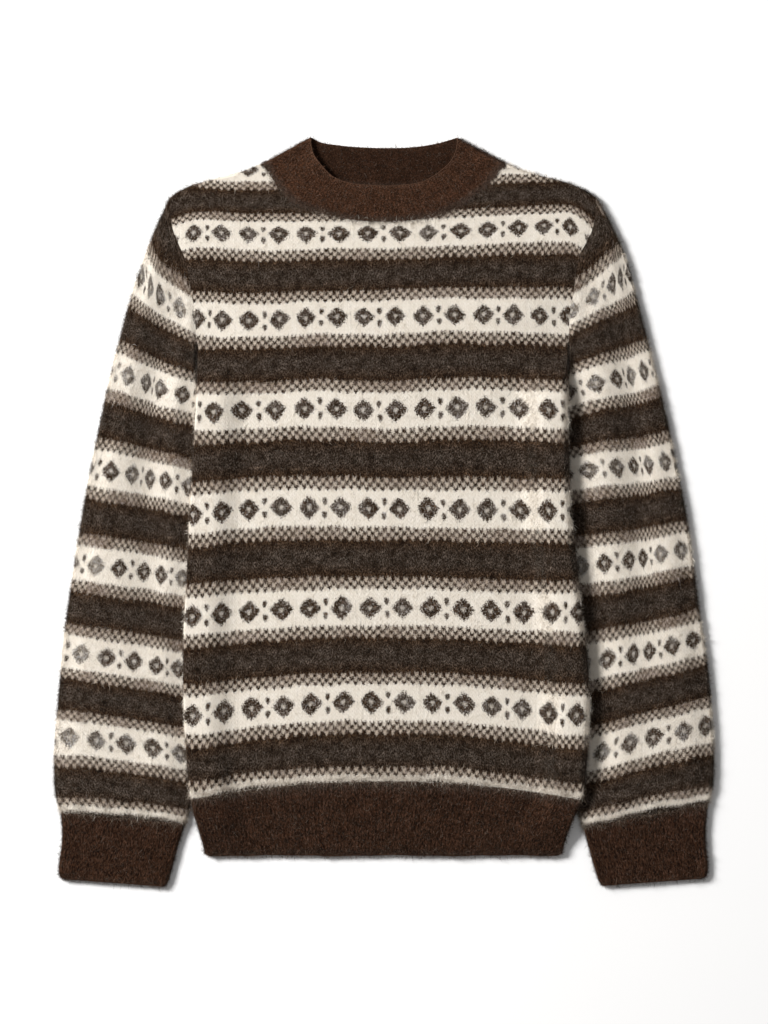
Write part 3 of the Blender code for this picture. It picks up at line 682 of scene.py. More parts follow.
# Soft troughs and ridges of the laid cloth: from here to there, half width, height
BODY_FOLDS = np.array([
    (-166, 150, -92, 96, 12, -0.9),
    (163, 150, 104, 92, 13, -0.9),
    (-150, 205, -70, 188, 18, 0.5),
    (150, 214, 88, 178, 16, 0.6),
    (-128, 12, -50, -38, 24, 0.6),
    (30, 40, 128, 8, 22, -0.5),
    (-30, 130, 46, 118, 20, 0.5),
    (84, -60, 150, -128, 19, 0.7),
    (-158, -118, -108, -178, 17, -0.6),
    (-60, -142, 44, -158, 24, 0.5),
    (-176, -180, -150, -246, 11, 0.6),
    (168, -170, 150, -240, 12, 0.6),
])


def folds(x, y, lines):
    """Height of soft folds: round each line a bell across it, that dies away at both ends."""
    total = np.zeros(np.shape(x))
    for x0, y0, x1, y1, half_width, height in lines:
        run = np.hypot(x1 - x0, y1 - y0)
        along = ((x - x0) * (x1 - x0) + (y - y0) * (y1 - y0)) / run**2
        aside = ((x - x0) * (y1 - y0) - (y - y0) * (x1 - x0)) / run
        ends = ease((along + 0.35) / 0.6) * ease((1.35 - along) / 0.6)
        total += height * ends * np.exp(-((aside / half_width) ** 2))
    return total


def above_rib(x, height_over_rib):
    """Soft ripples where a rib draws the cloth in: uneven waves that die out upwards."""
    wave = np.sin(x / 4.3 + 1.1 * np.sin(x / 23)) + 0.7 * np.sin(x / 6.7 + 2.0)
    return 0.28 * wave * ease(height_over_rib / 7) * (1 - ease((height_over_rib - 8) / 34))


def body_relief(x, y):
    """Folds of the front panel, none at the side edges, and a fuller roll along the right one."""
    edge = inset(x, y)
    length_of_side = ease((UNDERARM - y) / 50) * ease((y - hem_seam(x)) / 30)
    roll = 4.0 * ease(edge / 3.4) * (1 - ease((edge - 9) / 45)) * (x > 0) * length_of_side
    return ease(edge / 22) * (folds(x, y, BODY_FOLDS) + above_rib(x, y - hem_seam(x))) + roll


def at_front_edges(x, y, up):
    """More nap at the neckline too."""
    to_neck = np.interp(x, NECK_FRONT["across"], NECK_FRONT["height"]) - y
    return at_edges(x, y, up) + 4 * (to_neck < 5)


front, front_hairs, front_skins, front_knit = body_panel(
    "front", NECK_FRONT, (91000, 3.6, 0.26), 12, at_front_edges, body_relief
)
# Fine loose fibres of both colours lie over the seam and the rib below
LOOSE = 6.5, 0.12  # length and width of a fibre
mixed_fibres, _ = matt("loose_wool_fibres", "#8F8071")
seam_fibres = nap(
    "front_seam_fibres", [skin[:2] for skin in front_skins], front_knit[:2], (4500, *LOOSE), 13,
    mixed_fibres,
)
front_fibres = [front_hairs, seam_fibres]
dress(front, "front", front_fibres)

# ---- Sleeves -------------------------------------------------------------------------------------
# Each sleeve is a knitted tube, folded flat with its linked edges under the body's side seam. The
# upper layer dips into a soft valley along the arm, where the cloth has fallen together.

SLEEVE_AIR, ARMHOLE_AIR, RIB_AIR = 3.5, 2.6, 0.8
PRESSED_MARGIN = 2.0
AIR_BESIDE_BODY = {"left": (1.1, 18.0), "right": (-0.7, 36.0)}  # air, and how far it takes to fill
AIR_FROM_FOLD = 20.0
BULGE_LEFT = (0.6, 0.3, 0.1)  # how much of the armhole's curve the first rows keep
SLEEVE_ROWS = 120
SLEEVE_RUBBING = 0.6
VALLEY_HALF_WIDTH, VALLEY_AIR = 17.0, -0.4
SLEEVES = {
    "left": table(
        "outer_x outer_y inner_x inner_y",
        (-212.4, 261.6, -174.9, 144.7), (-223.5, 231.9, -174.9, 129.9),
        (-235.6, 196.6, -172.8, 113.2), (-250.4, 141.0, -171.2, 99.2),
        (-260.6, 96.5, -171.6, 66.8), (-271.8, 41.7, -166.0, 22.3),
        (-281.0, -7.4, -165.1, -26.0), (-288.0, -53.8, -166.0, -71.4),
        (-294.5, -95.5, -167.0, -113.2), (-299.1, -137.3, -167.9, -155.8),
        (-302.8, -179.0, -170.7, -200.3), (-305.8, -220.7, -173.9, -240.2),
        (-305.6, -257.8, -179.0, -269.9), (-300.0, -279.0, -184.6, -289.4),
    ),
    "right": table(
        "outer_x outer_y inner_x inner_y",
        (213.3, 261.6, 172.3, 144.7), (225.4, 231.9, 171.9, 129.9),
        (234.7, 196.6, 169.6, 113.2), (248.6, 143.8, 168.2, 99.2),
        (258.8, 102.0, 168.8, 66.8), (270.8, 46.4, 163.2, 24.1),
        (281.0, -5.6, 165.1, -30.6), (287.5, -50.1, 168.8, -77.0),
        (292.2, -89.0, 172.5, -118.7), (298.6, -129.9, 175.3, -161.4),
        (303.3, -174.4, 178.1, -206.8), (306.0, -218.9, 176.2, -246.7),
        (305.2, -253.2, 177.1, -270.8), (300.5, -270.8, 185.0, -293.1),
    ),
}
VALLEYS = {
    "left": table(
        "height across depth",
        (-250, -232, 0.1), (-140, -222, 0.25), (-55, -216, 0.6), (30, -218, 0.9),
        (112, -214, 1.0), (160, -204, 0.8), (230, -196, 0.0),
    ),
    "right": table(
        "height across depth",
        (-250, 236, 0.1), (-130, 240, 0.35), (-45, 240, 0.7), (35, 237, 0.9),
        (125, 229, 1.0), (160, 222, 0.8), (230, 205, 0.0),
    ),
}
# Heights of the thin line and of the cream bands at four shares of the way across, from the outer
# edge to the body, with more rows round the last band; then the lengthwise lines of five diamonds
SLEEVE_ACROSS = np.array([0, 0.4, 0.6, 1])
SLEEVE_BAND_ROWS = np.array([
    -13.1, 4.8, 28.8, 52.8, 76.8, 100.8, 120.3, 124.8, 129.3, 132.3, 140.6
])
SLEEVE_BANDS = {
    "left": np.array([
        (-274.5, -275.8, -278.9, -284.7), (-207.8, -212.6, -216.2, -224.5),
        (-128.9, -136.0, -139.3, -146.5), (-47.3, -52.9, -55.4, -63.1),
        (40.8, 34.5, 31.3, 23.2), (131.7, 121.1, 114.4, 105.7),
        (202.4, 186.0, 179.0, 165.3), (222.6, 204.0, 195.5, 180.9),
        (240.0, 220.5, 213.3, 199.0), (250.5, 233.0, 226.0, 212.0),
        (291.2, 291.2, 291.2, 291.2),
    ]),
    "right": np.array([
        (-263.4, -271.3, -277.0, -289.4), (-196.6, -206.9, -212.5, -227.2),
        (-116.9, -127.6, -132.0, -140.1), (-33.4, -42.1, -45.9, -50.1),
        (48.2, 42.2, 41.5, 35.2), (134.5, 123.6, 121.2, 111.3),
        (204.0, 193.5, 187.5, 172.3), (224.5, 209.0, 201.5, 185.5),
        (239.0, 225.7, 218.0, 202.0), (250.0, 238.0, 231.0, 214.5),
        (291.2, 291.2, 291.2, 291.2),
    ]),
}
SLEEVE_STITCHES = {
    "left": np.array([-4.5, 2.5, 10.5, 17.5, 25.5]),
    "right": np.array([2.5, 10.5, 17.5, 25.5, 32.5]),
}
SLEEVE_LINES = {
    "left": np.array([
        (-286.6, -262.8, -235.9, -211.7, -187.4), (-291.7, -267.1, -239.3, -214.3, -189.2),
        (-281.0, -257.8, -231.9, -210.5, -191.1), (-267.1, -245.8, -222.6, -206.8, -187.4),
        (-253.2, -232.8, -217.0, -203.1, -180.9), (-237.4, -219.8, -208.7, -186.4, -166.9),
        (-216.1, -208.7, -189.2, -172.5, -155.8),
    ]),
    "right": np.array([
        (202.8, 228.2, 249.0, 277.0, 297.1), (202.2, 228.2, 249.5, 278.2, 298.7),
        (206.8, 231.9, 245.8, 267.1, 286.6), (204.1, 228.2, 240.2, 256.0, 275.5),
        (190.1, 217.0, 232.8, 244.9, 260.6), (169.7, 197.6, 217.0, 229.1, 241.2),
        (152.1, 172.5, 193.8, 212.4, 218.9),
    ]),
}
SLEEVE_FOLDS = {
    "left": np.array([
        (-196, 236, -186, 176, 8, -1.0),
        (-214, 96, -262, 88, 12, 0.5),
        (-196, 30, -250, 8, 14, -0.5),
        (-240, -60, -286, -44, 15, 0.6),
        (-200, -96, -262, -112, 16, -0.5),
        (-232, -160, -290, -172, 15, 0.6),
        (-196, -200, -250, -226, 12, -0.5),
    ]),
    "right": np.array([
        (192, 232, 184, 172, 8, -1.0),
        (206, 92, 256, 76, 12, 0.6),
        (196, 18, 250, 30, 13, -0.5),
        (214, -72, 282, -52, 15, 0.6),
        (200, -118, 262, -96, 14, -0.6),
        (226, -176, 292, -150, 15, 0.5),
        (200, -222, 262, -204, 12, -0.6),
    ]),
}


def tube_skin(corners, upper, lower, top, bottom, depth, seam):
    """One skin of a flattened tube, a row for each line across it, as a grid of points.

    Each row runs from the first corner over the upper layer to the second corner and back under
    the lower layer. At a corner the cloth turns through half a circle, as wide as the stack there
    is high. With a seam, the row starts and ends at a slit in the first corner's middle.
    """
    span = np.linspace(0, 1, QUARTER_STEPS + 1)

    def quarter(corner, layer, end, sign, inward):
        half = (top[:, end] - bottom[:, end]) / 2
        radius = half - depth
        first = np.arcsin(SEAM_SHOWN / 2 / radius) if seam and end == 0 else 0 * radius
        turn = first[:, None] + span[:-1] * (math.pi / 2 - first[:, None])
        part = 1 - (radius / half)[:, None] * np.cos(turn)
        plan = corner[:, None] + (layer[:, None, end] - corner[:, None]) * part[..., None]
        middle = (top[:, end] + bottom[:, end]) / 2
        height = middle[:, None] + sign * radius[:, None] * np.sin(turn)
        points = np.concatenate([plan, height[..., None]], axis=-1)
        return points if inward else points[:, ::-1]

    first, second = corners
    over = np.concatenate([upper, (top - depth)[..., None]], axis=-1)
    under = np.concatenate([lower, (bottom + depth)[..., None]], axis=-1)
    finish = quarter(first, lower, 0, -1, False)
    return np.concatenate([
        quarter(first, upper, 0, 1, True),
        over,
        quarter(second, upper, -1, 1, False),
        quarter(second, lower, -1, -1, True)[:, 1:],
        under[:, ::-1],
        finish if seam else finish[:, :-1],
    ], axis=1)


def along_rows(grid, at):
    """Rows between those of a grid, at rising row numbers, by cubics down each column."""
    flat = grid.reshape(len(grid), -1)
    numbers = np.arange(len(grid), dtype=float)
    return np.stack([curve(at, numbers, line) for line in flat.T], -1).reshape(-1, *grid.shape[1:])


def sleeve_air(side, x, y):
    """Air in a sleeve: pressed under the body, more beside it, none in the valley."""
    beside_arm = ease((y - UNDERARM + 25.0) / 45.0)
    pressed, fills_over = AIR_BESIDE_BODY[side]
    near = pressed + (ARMHOLE_AIR - pressed) * beside_arm
    air = near + (SLEEVE_AIR - near) * ease((-inset(x, y) - PRESSED_MARGIN) / fills_over)
    valley = VALLEYS[side]
    across = curve(y, valley["height"], valley["across"])
    depth = curve(y, valley["height"], valley["depth"])
    return air - (air - VALLEY_AIR) * depth * np.exp(-(((x - across) / VALLEY_HALF_WIDTH) ** 2))


def sleeve_stitches(side, x, y):
    """Stitches across and rows up at places on a sleeve's upper layer."""
    ends = SLEEVES[side]
    sign = -1 if side == "left" else 1
    outer_y = np.append(SHOULDER_POINT, ends["outer_y"])[::-1]
    outer_x = np.append(body_edge(side, SHOULDER_POINT), ends["outer_x"])[::-1]
    from_outer = sign * (curve(y, outer_y, outer_x) - x)
    width = np.maximum(sign * (curve(y, outer_y, outer_x) - body_edge(side, y)), 4)
    share = np.clip(from_outer / width, 0, 1.5)
    bands = np.stack([curve(share, SLEEVE_ACROSS, line) for line in SLEEVE_BANDS[side]])
    rows = between(y, bands, SLEEVE_BAND_ROWS)
    lines = np.stack([curve(rows, BAND_ROWS[:-1], line) for line in SLEEVE_LINES[side].T])
    if side == "right":
        # A sliver of the next check shows along the fold at the shoulder
        sliver = ease(2.0 - np.abs(from_outer - 2.0)) * ease((y - 271) / 4) * ease((299 - y) / 4)
        rows += (143.9 - rows) * sliver
    return np.stack([between(x, lines, SLEEVE_STITCHES[side]), rows], axis=-1)


ENDS = "inner_x", "outer_x", "inner_y", "outer_y"


def from_seam(x, inner_x, outer_x, inner_y, outer_y):
    """Height of a straight cuff seam."""
    return inner_y + (x - inner_x) / (outer_x - inner_x) * (outer_y - inner_y)


def rubbed_colours(tree):
    """The striped nodes with the nap rubbed further, as it is on the sleeves."""
    return striped_colours(tree, SLEEVE_RUBBING)


sleeve_cloth = wool("rubbed_striped_stockinette", rubbed_colours, 0)
sleeve_nap = wool("rubbed_striped_nap", rubbed_colours, PALE_FIBRES)


def sleeve(side, armhole):
    """A sleeve from the armhole to the cuff seam. Its first row is the armhole, and over the next
    rows the armhole's curve straightens into a line across the sleeve."""
    sign = -1 if side == "left" else 1
    ends = SLEEVES[side]
    count = len(armhole)
    arm = armhole[:, :2] + np.array([sign * SEAM_SHOWN, 0])
    arm_share = distances(arm) / distances(arm)[-1]
    bulge = arm - (arm[:1] + (arm[-1:] - arm[:1]) * arm_share[:, None])
    inner_end = np.stack([ends["inner_x"], ends["inner_y"]], axis=-1)
    outer_end = np.stack([ends["outer_x"], ends["outer_y"]], axis=-1)
    rows = [arm[1:-1]]
    for number, (start, end) in enumerate(zip(inner_end, outer_end)):
        length = np.linalg.norm(end - start)
        way = (end - start) / length
        pressed = FOLD_RADIUS
        for _ in range(4):
            x, y = start + way * pressed
            pressed += max(inset(x, y) + PRESSED_MARGIN, 0) / abs(way[0])
        pressed = max(pressed, FOLD_RADIUS + 2 * PRESSED_MARGIN)
        along = np.append(FOLD_RADIUS, np.linspace(pressed, length - FOLD_RADIUS, count - 3))
        left_over = BULGE_LEFT[number] if number < len(BULGE_LEFT) else 0
        shape = [np.interp(along / length, arm_share, bulge[:, axis]) for axis in (0, 1)]
        rows.append(start + way * along[:, None] + left_over * np.stack(shape, axis=-1))
    inner_end = np.concatenate([arm[:1], inner_end])
    outer_end = np.concatenate([arm[-1:], outer_end])
    coarse = np.stack(rows)
    run = distances(coarse[:, count // 2])
    at = np.interp(np.linspace(0, run[-1], SLEEVE_ROWS), run, np.arange(len(run)))
    plan, inner_end, outer_end = (along_rows(grid, at) for grid in (coarse, inner_end, outer_end))
    x, y = plan[..., 0], plan[..., 1]
    from_fold = np.linalg.norm(plan - plan[:, -1:], axis=-1)
    air = FOLD_AIR + (sleeve_air(side, x, y) - FOLD_AIR) * ease(from_fold / AIR_FROM_FOLD)
    at_arm = armhole[1:-1, 2] - 2 * WALL
    air = np.where(at[:, None] < 1, at_arm + (air - at_arm) * ease(at)[:, None], air)
    air[1:, 0] = PRESSED_AIR
    to_cuff = ease((len(run) - 1 - at) / 0.9)[:, None]
    air = RIB_AIR + (air - RIB_AIR) * to_cuff
    top = 2 * WALL + air
    visible = ease(-inset(x, y) / 14) * ease(from_fold / 16) * ease(at / 1.5)[:, None] * to_cuff
    over_cuff = np.linalg.norm(plan - plan[-1:], axis=-1)
    ripples = above_rib(x * 1.3, over_cuff) * ease(from_fold / 16) * ease(-inset(x, y) / 14)
    relief = visible * folds(x, y, SLEEVE_FOLDS[side]) + ripples
    corners = (inner_end, outer_end)
    layers = plan, plan, top + relief, 0 * top
    skins = [tube_skin(corners, *layers, depth, True) for depth in (SUNK, CLOTH)]
    knit = sleeve_stitches(side, skins[0][..., 0], skins[0][..., 1])
    fold = 2 * QUARTER_STEPS + plan.shape[1] - 1
    knit[:, fold + 1 :, 0] = 2 * knit[:, fold : fold + 1, 0] - knit[:, fold + 1 :, 0]
    name = "sleeve_" + side
    piece = cloth(name + "_cloth", skins, knit, sleeve_cloth)
    seam = [ends[key][-1] for key in ENDS]

    def seen(x, y, up):
        """No nap under the body, less underneath and more on the folds and by the cuff."""
        hidden = (inset(x, y) > 5) & (y < UNDERARM)
        by_cuff = 1.5 * (y - from_seam(x, *seam) < 4)
        return np.where(hidden, 0, np.where(up < -0.5, 0.45, np.where(up < 0.9, 9, 1)) + by_cuff)

    seed = 21 if side == "left" else 22
    hairs = nap(name + "_nap", skins, knit, (62000, 3.8, 0.24), seed, sleeve_nap, seen)
    last = [skin[-2:] for skin in skins]
    loose = nap(
        name + "_seam_fibres", last, knit[-2:], (2200, *LOOSE), seed + 2, mixed_fibres, seen
    )
    dress(piece, name, [hairs, loose])


armhole_skin = panel_skin("front", NECK_FRONT, 0)
for side, column in (("left", 0), ("right", -1)):
    edge = armhole_skin[ROWS_BELOW - 1 :, column]
    sleeve(side, np.delete(edge, slice(-QUARTER_STEPS, -1), axis=0))

# ---- Hem rib -------------------------------------------------------------------------------------
# A 1x1 rib in dark brown wool below the body, front and back, joined at the side seams. It draws
# the body in, and its raised wales run down to a soft bound-off edge.

RIB_PITCH = 3.25  # one raised and one sunk wale
RIB_RISE = 0.09  # the nap fills most of the rib
WALE_POINTS = 4  # columns of points to a pair of wales
RIB_ROWS = 14
RIB_NAP = 3.4, 0.26  # length and width of a fibre
CUFF_ROW = 4.5
RIB_ROWS_KNITTED = 16
HEM_WALES = round(335.0 / RIB_PITCH)
RIB_LIGHT = to_linear("#472E20")


def rib_colours(tree, below_cream=True, contrast=1.6):
    """Nodes of the brown rib: lighter on a raised wale and darker in the sunk ones, a painted shade
    between the wales, with flecks of paler and redder fibre.
    """
    place = add(tree, "UVMap", uv_map="stitches")
    turn = {"Vector": place, "Rotation": (0, 0, 0.5), "Scale": (3.3, 1.7, 1)}
    turned = add(tree, "Mapping", turn)
    fine, fleck, tuft = (
        add(tree, "TexNoise", (at, 0, *sizes), noise_dimensions="2D")
        for at, *sizes in ((place, 2.2, 3.0), (turned, 1.0, 3.0, 0.7), (place, 0.35, 3.0))
    )
    moved = add(tree, "VectorMath MULTIPLY_ADD", (fine.outputs["Color"], (0.5, 0.8, 0), place))
    number, row = add(tree, "SeparateXYZ", (moved,)).outputs[:2]
    wave = add(tree, "MULTIPLY", (number, 2 * math.pi))
    wale = add(tree, "COSINE", (wave,))
    # Painted shade: the sunk wales are a little darker than the raised ones.
    wale_shade_and_fleck = add(tree, "MULTIPLY_ADD", (wale, 0.02, fleck))
    height = add(tree, "MULTIPLY_ADD", (tuft, 0.2, wale_shade_and_fleck))
    light = add(tree, "MapRange", (height, 0.47, 0.82))
    colour = add(tree, "MixRGB", (light, RIB, RIB_LIGHT))
    # Paler towards the end, where the bound-off edge is rubbed
    worn = add(tree, "MapRange", (row, 0.2, 2.2, 1.5, 1.0))
    # Paler fibres from the stripes lie over the first rows below the seam
    laid_over = add(tree, "MapRange", (row, 13.5, 16.8, 0.0, 0.3))
    haze = add(tree, "MULTIPLY", (laid_over, fleck))
    hazy = add(tree, "MixRGB", (haze, colour, to_linear("#75665A")))
    grain = specks(tree, moved, 4.2, 2.2)
    grain_gain = add(tree, "MULTIPLY_ADD", (grain, contrast, 1.0))
    gain = add(tree, "MULTIPLY", (grain_gain, worn))
    speckled = shaded(tree, hazy, gain)
    # The seam is picked up through the last row of cream
    cream_row = add(tree, "MapRange", (row, 16.3, 16.45, 0.0, float(below_cream)))
    return add(tree, "MixRGB", (cream_row, speckled, CREAM)), height


ribbed_cloth = wool("brushed_brown_rib", rib_colours, 0)
ribbed_nap = wool("brown_wool_nap", rib_colours, 0.2)


def wales(number):
    """Relief across a rib at a count of wales: a cosine, raised in the middle of each wale."""
    return RIB_RISE * np.cos(2 * math.pi * number)


def hem_skin(layer, seam_points, depth):
    """One skin of a hem rib: rows from the body seam to the hem end, its side folds quarter turns,
    raised wales on the outer face."""
    fold = WALL + RIB_AIR / 2
    radius = fold - depth
    turn = quarter_turn(radius)
    across = np.linspace(0, 1, WALE_POINTS * HEM_WALES + 1)
    x = np.zeros((RIB_ROWS, len(across) + 2 * QUARTER_STEPS))
    y = np.zeros(x.shape)
    part = np.linspace(0, 1, RIB_ROWS)[:, None]
    for _ in range(5):
        left = body_edge("left", y[:, :1])
        right = body_edge("right", y[:, -1:])
        round_fold = fold - radius * np.cos(turn[:-1])
        flat = left + fold + across * (right - left - 2 * fold)
        x = np.concatenate([left + round_fold, flat, right - round_fold[::-1]], axis=1)
        seam = np.interp(x, seam_points[:, 0], seam_points[:, 1]) - SEAM_SHOWN
        end = HEM_END + 2.2 * (1 - ease(np.minimum(x - left, right - x) / 6)) ** 1.5
        end += 0.4 * np.sin(x / 17 + 1.0) + 0.25 * np.sin(x / 6.1)
        y = seam + (end - seam) * part
    sine = np.ones(x.shape)
    sine[:, :QUARTER_STEPS] = np.sin(turn[:-1])
    sine[:, -QUARTER_STEPS:] = np.sin(turn[-2::-1])
    z = lift(x, y) + fold
    number = (np.arange(x.shape[1]) - QUARTER_STEPS) / WALE_POINTS
    raised = wales(number) * (sine > 0.999) if depth == SUNK else 0
    rolled = ease((part - 0.9) / 0.1) * 0.7 * (1 if depth == SUNK else -0.4)
    if layer == "front":
        z += radius * sine + raised - rolled
    else:
        z -= radius * sine
    stitches = np.stack([number + 0 * x, RIB_ROWS_KNITTED * (1 - part) + 0 * x], axis=-1)
    return np.stack([x, y, z], axis=-1), stitches


def by_hem_seam(x, y, up):
    """More nap on the side folds, at the seam and at the end."""
    return 1 + 2 * (hem_seam(x) - y < 4) + 5 * (np.abs(up) < 0.8) + 4 * (y - HEM_END < 4)


for layer, body, below, fibres in (
    ("front", front_skins[0], "hem_back_rib", 30000), ("back", back_skins[0], floor.name, 7000)
):
    skins, knits = zip(*(hem_skin(layer, body[0, :, :2], depth) for depth in (SUNK, CLOTH)))
    name = "hem_" + layer
    hem = cloth(name + "_rib", skins, knits[0], ribbed_cloth)
    hairs = nap(name + "_nap", skins, knits[0], (fibres, *RIB_NAP), 31, ribbed_nap, by_hem_seam)
    dress(hem, name, [hairs])

# ---- Cuffs ---------------------------------------------------------------------------------------
# The same brown rib, knitted on at the end of each sleeve and folded flat with it.

CUFFS = {
    "left": table(
        "outer_x outer_y inner_x inner_y",
        (-300.0, -279.0, -184.6, -289.4), (-299.0, -303.0, -191.0, -309.5),
        (-302.2, -335.0, -199.5, -341.0), (-295.0, -341.0, -204.6, -347.8),
    ),
    "right": table(
        "outer_x outer_y inner_x inner_y",
        (300.5, -270.8, 185.0, -293.1), (298.6, -301.0, 190.2, -313.0),
        (300.8, -334.0, 198.2, -340.0), (294.0, -340.4, 203.0, -346.9),
    ),
}


def cuff(side):
    """A cuff: lines across it from the sleeve seam to the end, wales on the upper layer."""
    ends = CUFFS[side]
    at = np.concatenate([np.linspace(0, 2, RIB_ROWS - 4), np.linspace(2, 3, 5)[1:]])
    places = np.stack([ends[key] for key in ("inner_x", "inner_y", "outer_x", "outer_y")], -1)
    lines = along_rows(places.reshape(-1, 2, 2), at)
    first, second = lines[:, 0], lines[:, 1]
    fold = WALL + RIB_AIR / 2
    length = np.linalg.norm(second - first, axis=-1)
    count = WALE_POINTS * round((length.mean() - 2 * fold) / RIB_PITCH) + 1
    share = (fold + np.linspace(0, 1, count) * (length[:, None] - 2 * fold)) / length[:, None]
    plan = first[:, None] + (second - first)[:, None] * share[..., None]
    top = np.full(plan.shape[:2], 2 * WALL + RIB_AIR)
    layers = (first, second), plan, plan, top, 0 * top
    skins = [tube_skin(*layers, depth, True) for depth in (SUNK, CLOTH)]
    columns = skins[0].shape[1]
    number = (np.arange(columns) - QUARTER_STEPS) / WALE_POINTS
    skins[0][:, QUARTER_STEPS : QUARTER_STEPS + count, 2] += wales(number[QUARTER_STEPS:][:count])
    rows = np.linalg.norm(skins[0][..., :2] - skins[0][-1:, :, :2], axis=-1) / CUFF_ROW
    knit = np.stack([number + 0 * rows, rows], axis=-1)
    name = "cuff_" + side
    piece = cloth(name + "_rib", skins, knit, ribbed_cloth)
    seed = 41 if side == "left" else 42
    seam, bound = ([ends[key][at] for key in ENDS] for at in (0, -1))

    def by_seam(x, y, up):
        """More nap on the folds, at the seam and at the end."""
        by_end = 4 * (y - from_seam(x, *bound) < 4)
        return 1 + 2 * (from_seam(x, *seam) - y < 4) + 5 * (np.abs(up) < 0.8) + by_end

    hairs = nap(name + "_nap", skins, knit, (13000, *RIB_NAP), seed, ribbed_nap, by_seam)
    dress(piece, name, [hairs])


for side in ("left", "right"):
    cuff(side)

# ---- Neckband ------------------------------------------------------------------------------------
# A ring of the brown rib, picked up round the neckline and laid flat, so that the inside of its
# back half shows through the opening. Its free edge is bound off in a fine chain, paler than the
# rib as a painted highlight along the edge's ridge.

BAND_AIR = 3.4
BAND_WALES = 60
BAND_SHOWN_ROWS = 16
BAND_FRONT = table(
    "across height",
    (-68.6, 347.8), (-65.9, 333.0), (-57.5, 320.9), (-48.2, 311.6), (-28.8, 304.6),
    (-11.0, 303.0), (17.5, 303.0), (38.0, 307.2), (51.0, 315.0), (62.1, 325.5),
    (66.8, 335.0), (68.6, 347.4),
)
BAND_BACK = table(
    "across height",
    (-68.6, 347.8), (-60.3, 343.4), (-44.5, 340.4), (-25.0, 338.5), (0, 337.6),
    (27.8, 338.5), (51.0, 342.2), (68.6, 347.4),
)


def even_points(line, count, ends_in):
    """Points at even steps along a plan line, the first and last a little in from its ends. The
    line is smoothed by a cubic through its points against their distance along it."""
    points = np.stack([line["across"], line["height"]], axis=-1)
    length = distances(points)
    at = np.linspace(ends_in, length[-1] - ends_in, count)
    at = np.concatenate([[0], at, [length[-1]]])
    return np.stack([curve(at, length, points[:, axis]) for axis in (0, 1)], axis=-1)


def band_layer(seam_line, free_line, count, fold):
    """Plan of one layer of the neckband: straight wales from the neckline to the free edge."""
    seam = even_points(seam_line, count, fold)
    free = even_points(free_line, count, fold)
    wale = (free - seam) / np.linalg.norm(free - seam, axis=1)[:, None]
    seam = seam + wale * SEAM_SHOWN
    return seam + (free - seam) * np.linspace(0, 1, BAND_SHOWN_ROWS)[:, None, None]


def band_skins():
    """Both skins of the neckband and its count of wales and rows."""
    fold = WALL + FOLD_AIR / 2
    points = WALE_POINTS * BAND_WALES + 1
    front_plan = band_layer(NECK_FRONT, BAND_FRONT, points, fold)
    back_plan = band_layer(NECK_BACK, BAND_BACK, points, fold)
    corners = [(front_plan[:, end] + back_plan[:, end]) / 2 for end in (0, -1)]
    upper, lower = front_plan[:, 1:-1], back_plan[:, 1:-1]
    seam_air = body_air(upper[:1, :, 0], upper[:1, :, 1])
    from_corner = ease(np.arange(points) / (0.13 * points))
    from_corner = np.minimum(from_corner, from_corner[::-1])
    edge_air = FOLD_AIR + (BAND_AIR - FOLD_AIR) * from_corner
    air = seam_air + (edge_air - seam_air) * np.linspace(0, 1, BAND_SHOWN_ROWS)[:, None]
    air[:, [0, -1]] = FOLD_AIR
    top = 2 * WALL + air
    bottom = np.zeros(lower.shape[:2])
    layers = corners, upper, lower, top, bottom
    skins = [tube_skin(*layers, depth, False) for depth in (SUNK, CLOTH)]
    columns = skins[0].shape[1]
    number = (np.arange(columns) - QUARTER_STEPS) / WALE_POINTS
    over = slice(QUARTER_STEPS, QUARTER_STEPS + points)
    under = slice(columns - QUARTER_STEPS + 1 - lower.shape[1], columns - QUARTER_STEPS + 1)
    skins[0][:, over, 2] += wales(number[over])
    skins[1][:, under, 2] += wales(number[under])
    rows = np.linspace(RIB_ROWS_KNITTED, 0, BAND_SHOWN_ROWS)[:, None]
    return skins, np.stack([number + 0 * rows, rows + 0 * number], axis=-1)


def band_colours(tree):
    """The rib's nodes, paler round the front of the band, which is worn more than the back, and
    darker round the back half, a painted shade for the inside that shows through the opening.
    """
    colour, height = rib_colours(tree, below_cream=False, contrast=1.0)
    number = add(tree, "SeparateXYZ", (add(tree, "UVMap", uv_map="stitches"),))
    # Front wales are worn paler; the back half is darkened as painted shade inside the opening.
    front_wear_back_painted_shade = add(tree, "MapRange", (number.outputs[0], BAND_WALES, BAND_WALES + 2, 1.6, 0.84))
    return add(tree, "MixRGB", (1.0, colour, front_wear_back_painted_shade), blend_type="MULTIPLY"), height


def by_neckline(x, y, up):
    """More nap along the neckline and on the folded ends."""
    from_neck = y - np.interp(x, NECK_FRONT["across"], NECK_FRONT["height"])
    return 1 + 4 * ((from_neck < 4) & (up > 0.3)) + 2 * (np.abs(up) < 0.8)


# Both materials carry the painted shade on the band's back half and the wear on its front.
band_cloth = wool("brown_rib_worn_front_painted_shade_back", band_colours, 0)
band_nap = wool("brown_nap_worn_front_painted_shade_back", band_colours, 0.2)
band, band_knit = band_skins()
neckband = cloth("neckband_rib", band, band_knit, band_cloth, ring=True)
band_hairs = nap(
    "neckband_nap", band, band_knit, (24000, *RIB_NAP), 51, band_nap, by_neckline, ring=True
)
inside_hairs = nap(
    "neckband_inside_nap", band[::-1], band_knit, (5000, 2.6, 0.3), 52, band_nap,
    lambda x, y, up: np.where((up > 0.3) & (y > 296), 1.0, 0.0), ring=True,
)
neckline_fibres = nap(
    "neckline_fibres", [skin[:2] for skin in band], band_knit[:2], (3000, 5.0, 0.13), 53,
    band_nap, by_neckline, ring=True,
)
CHAIN_PITCH = 3.7
CHAIN_SIDES = 6


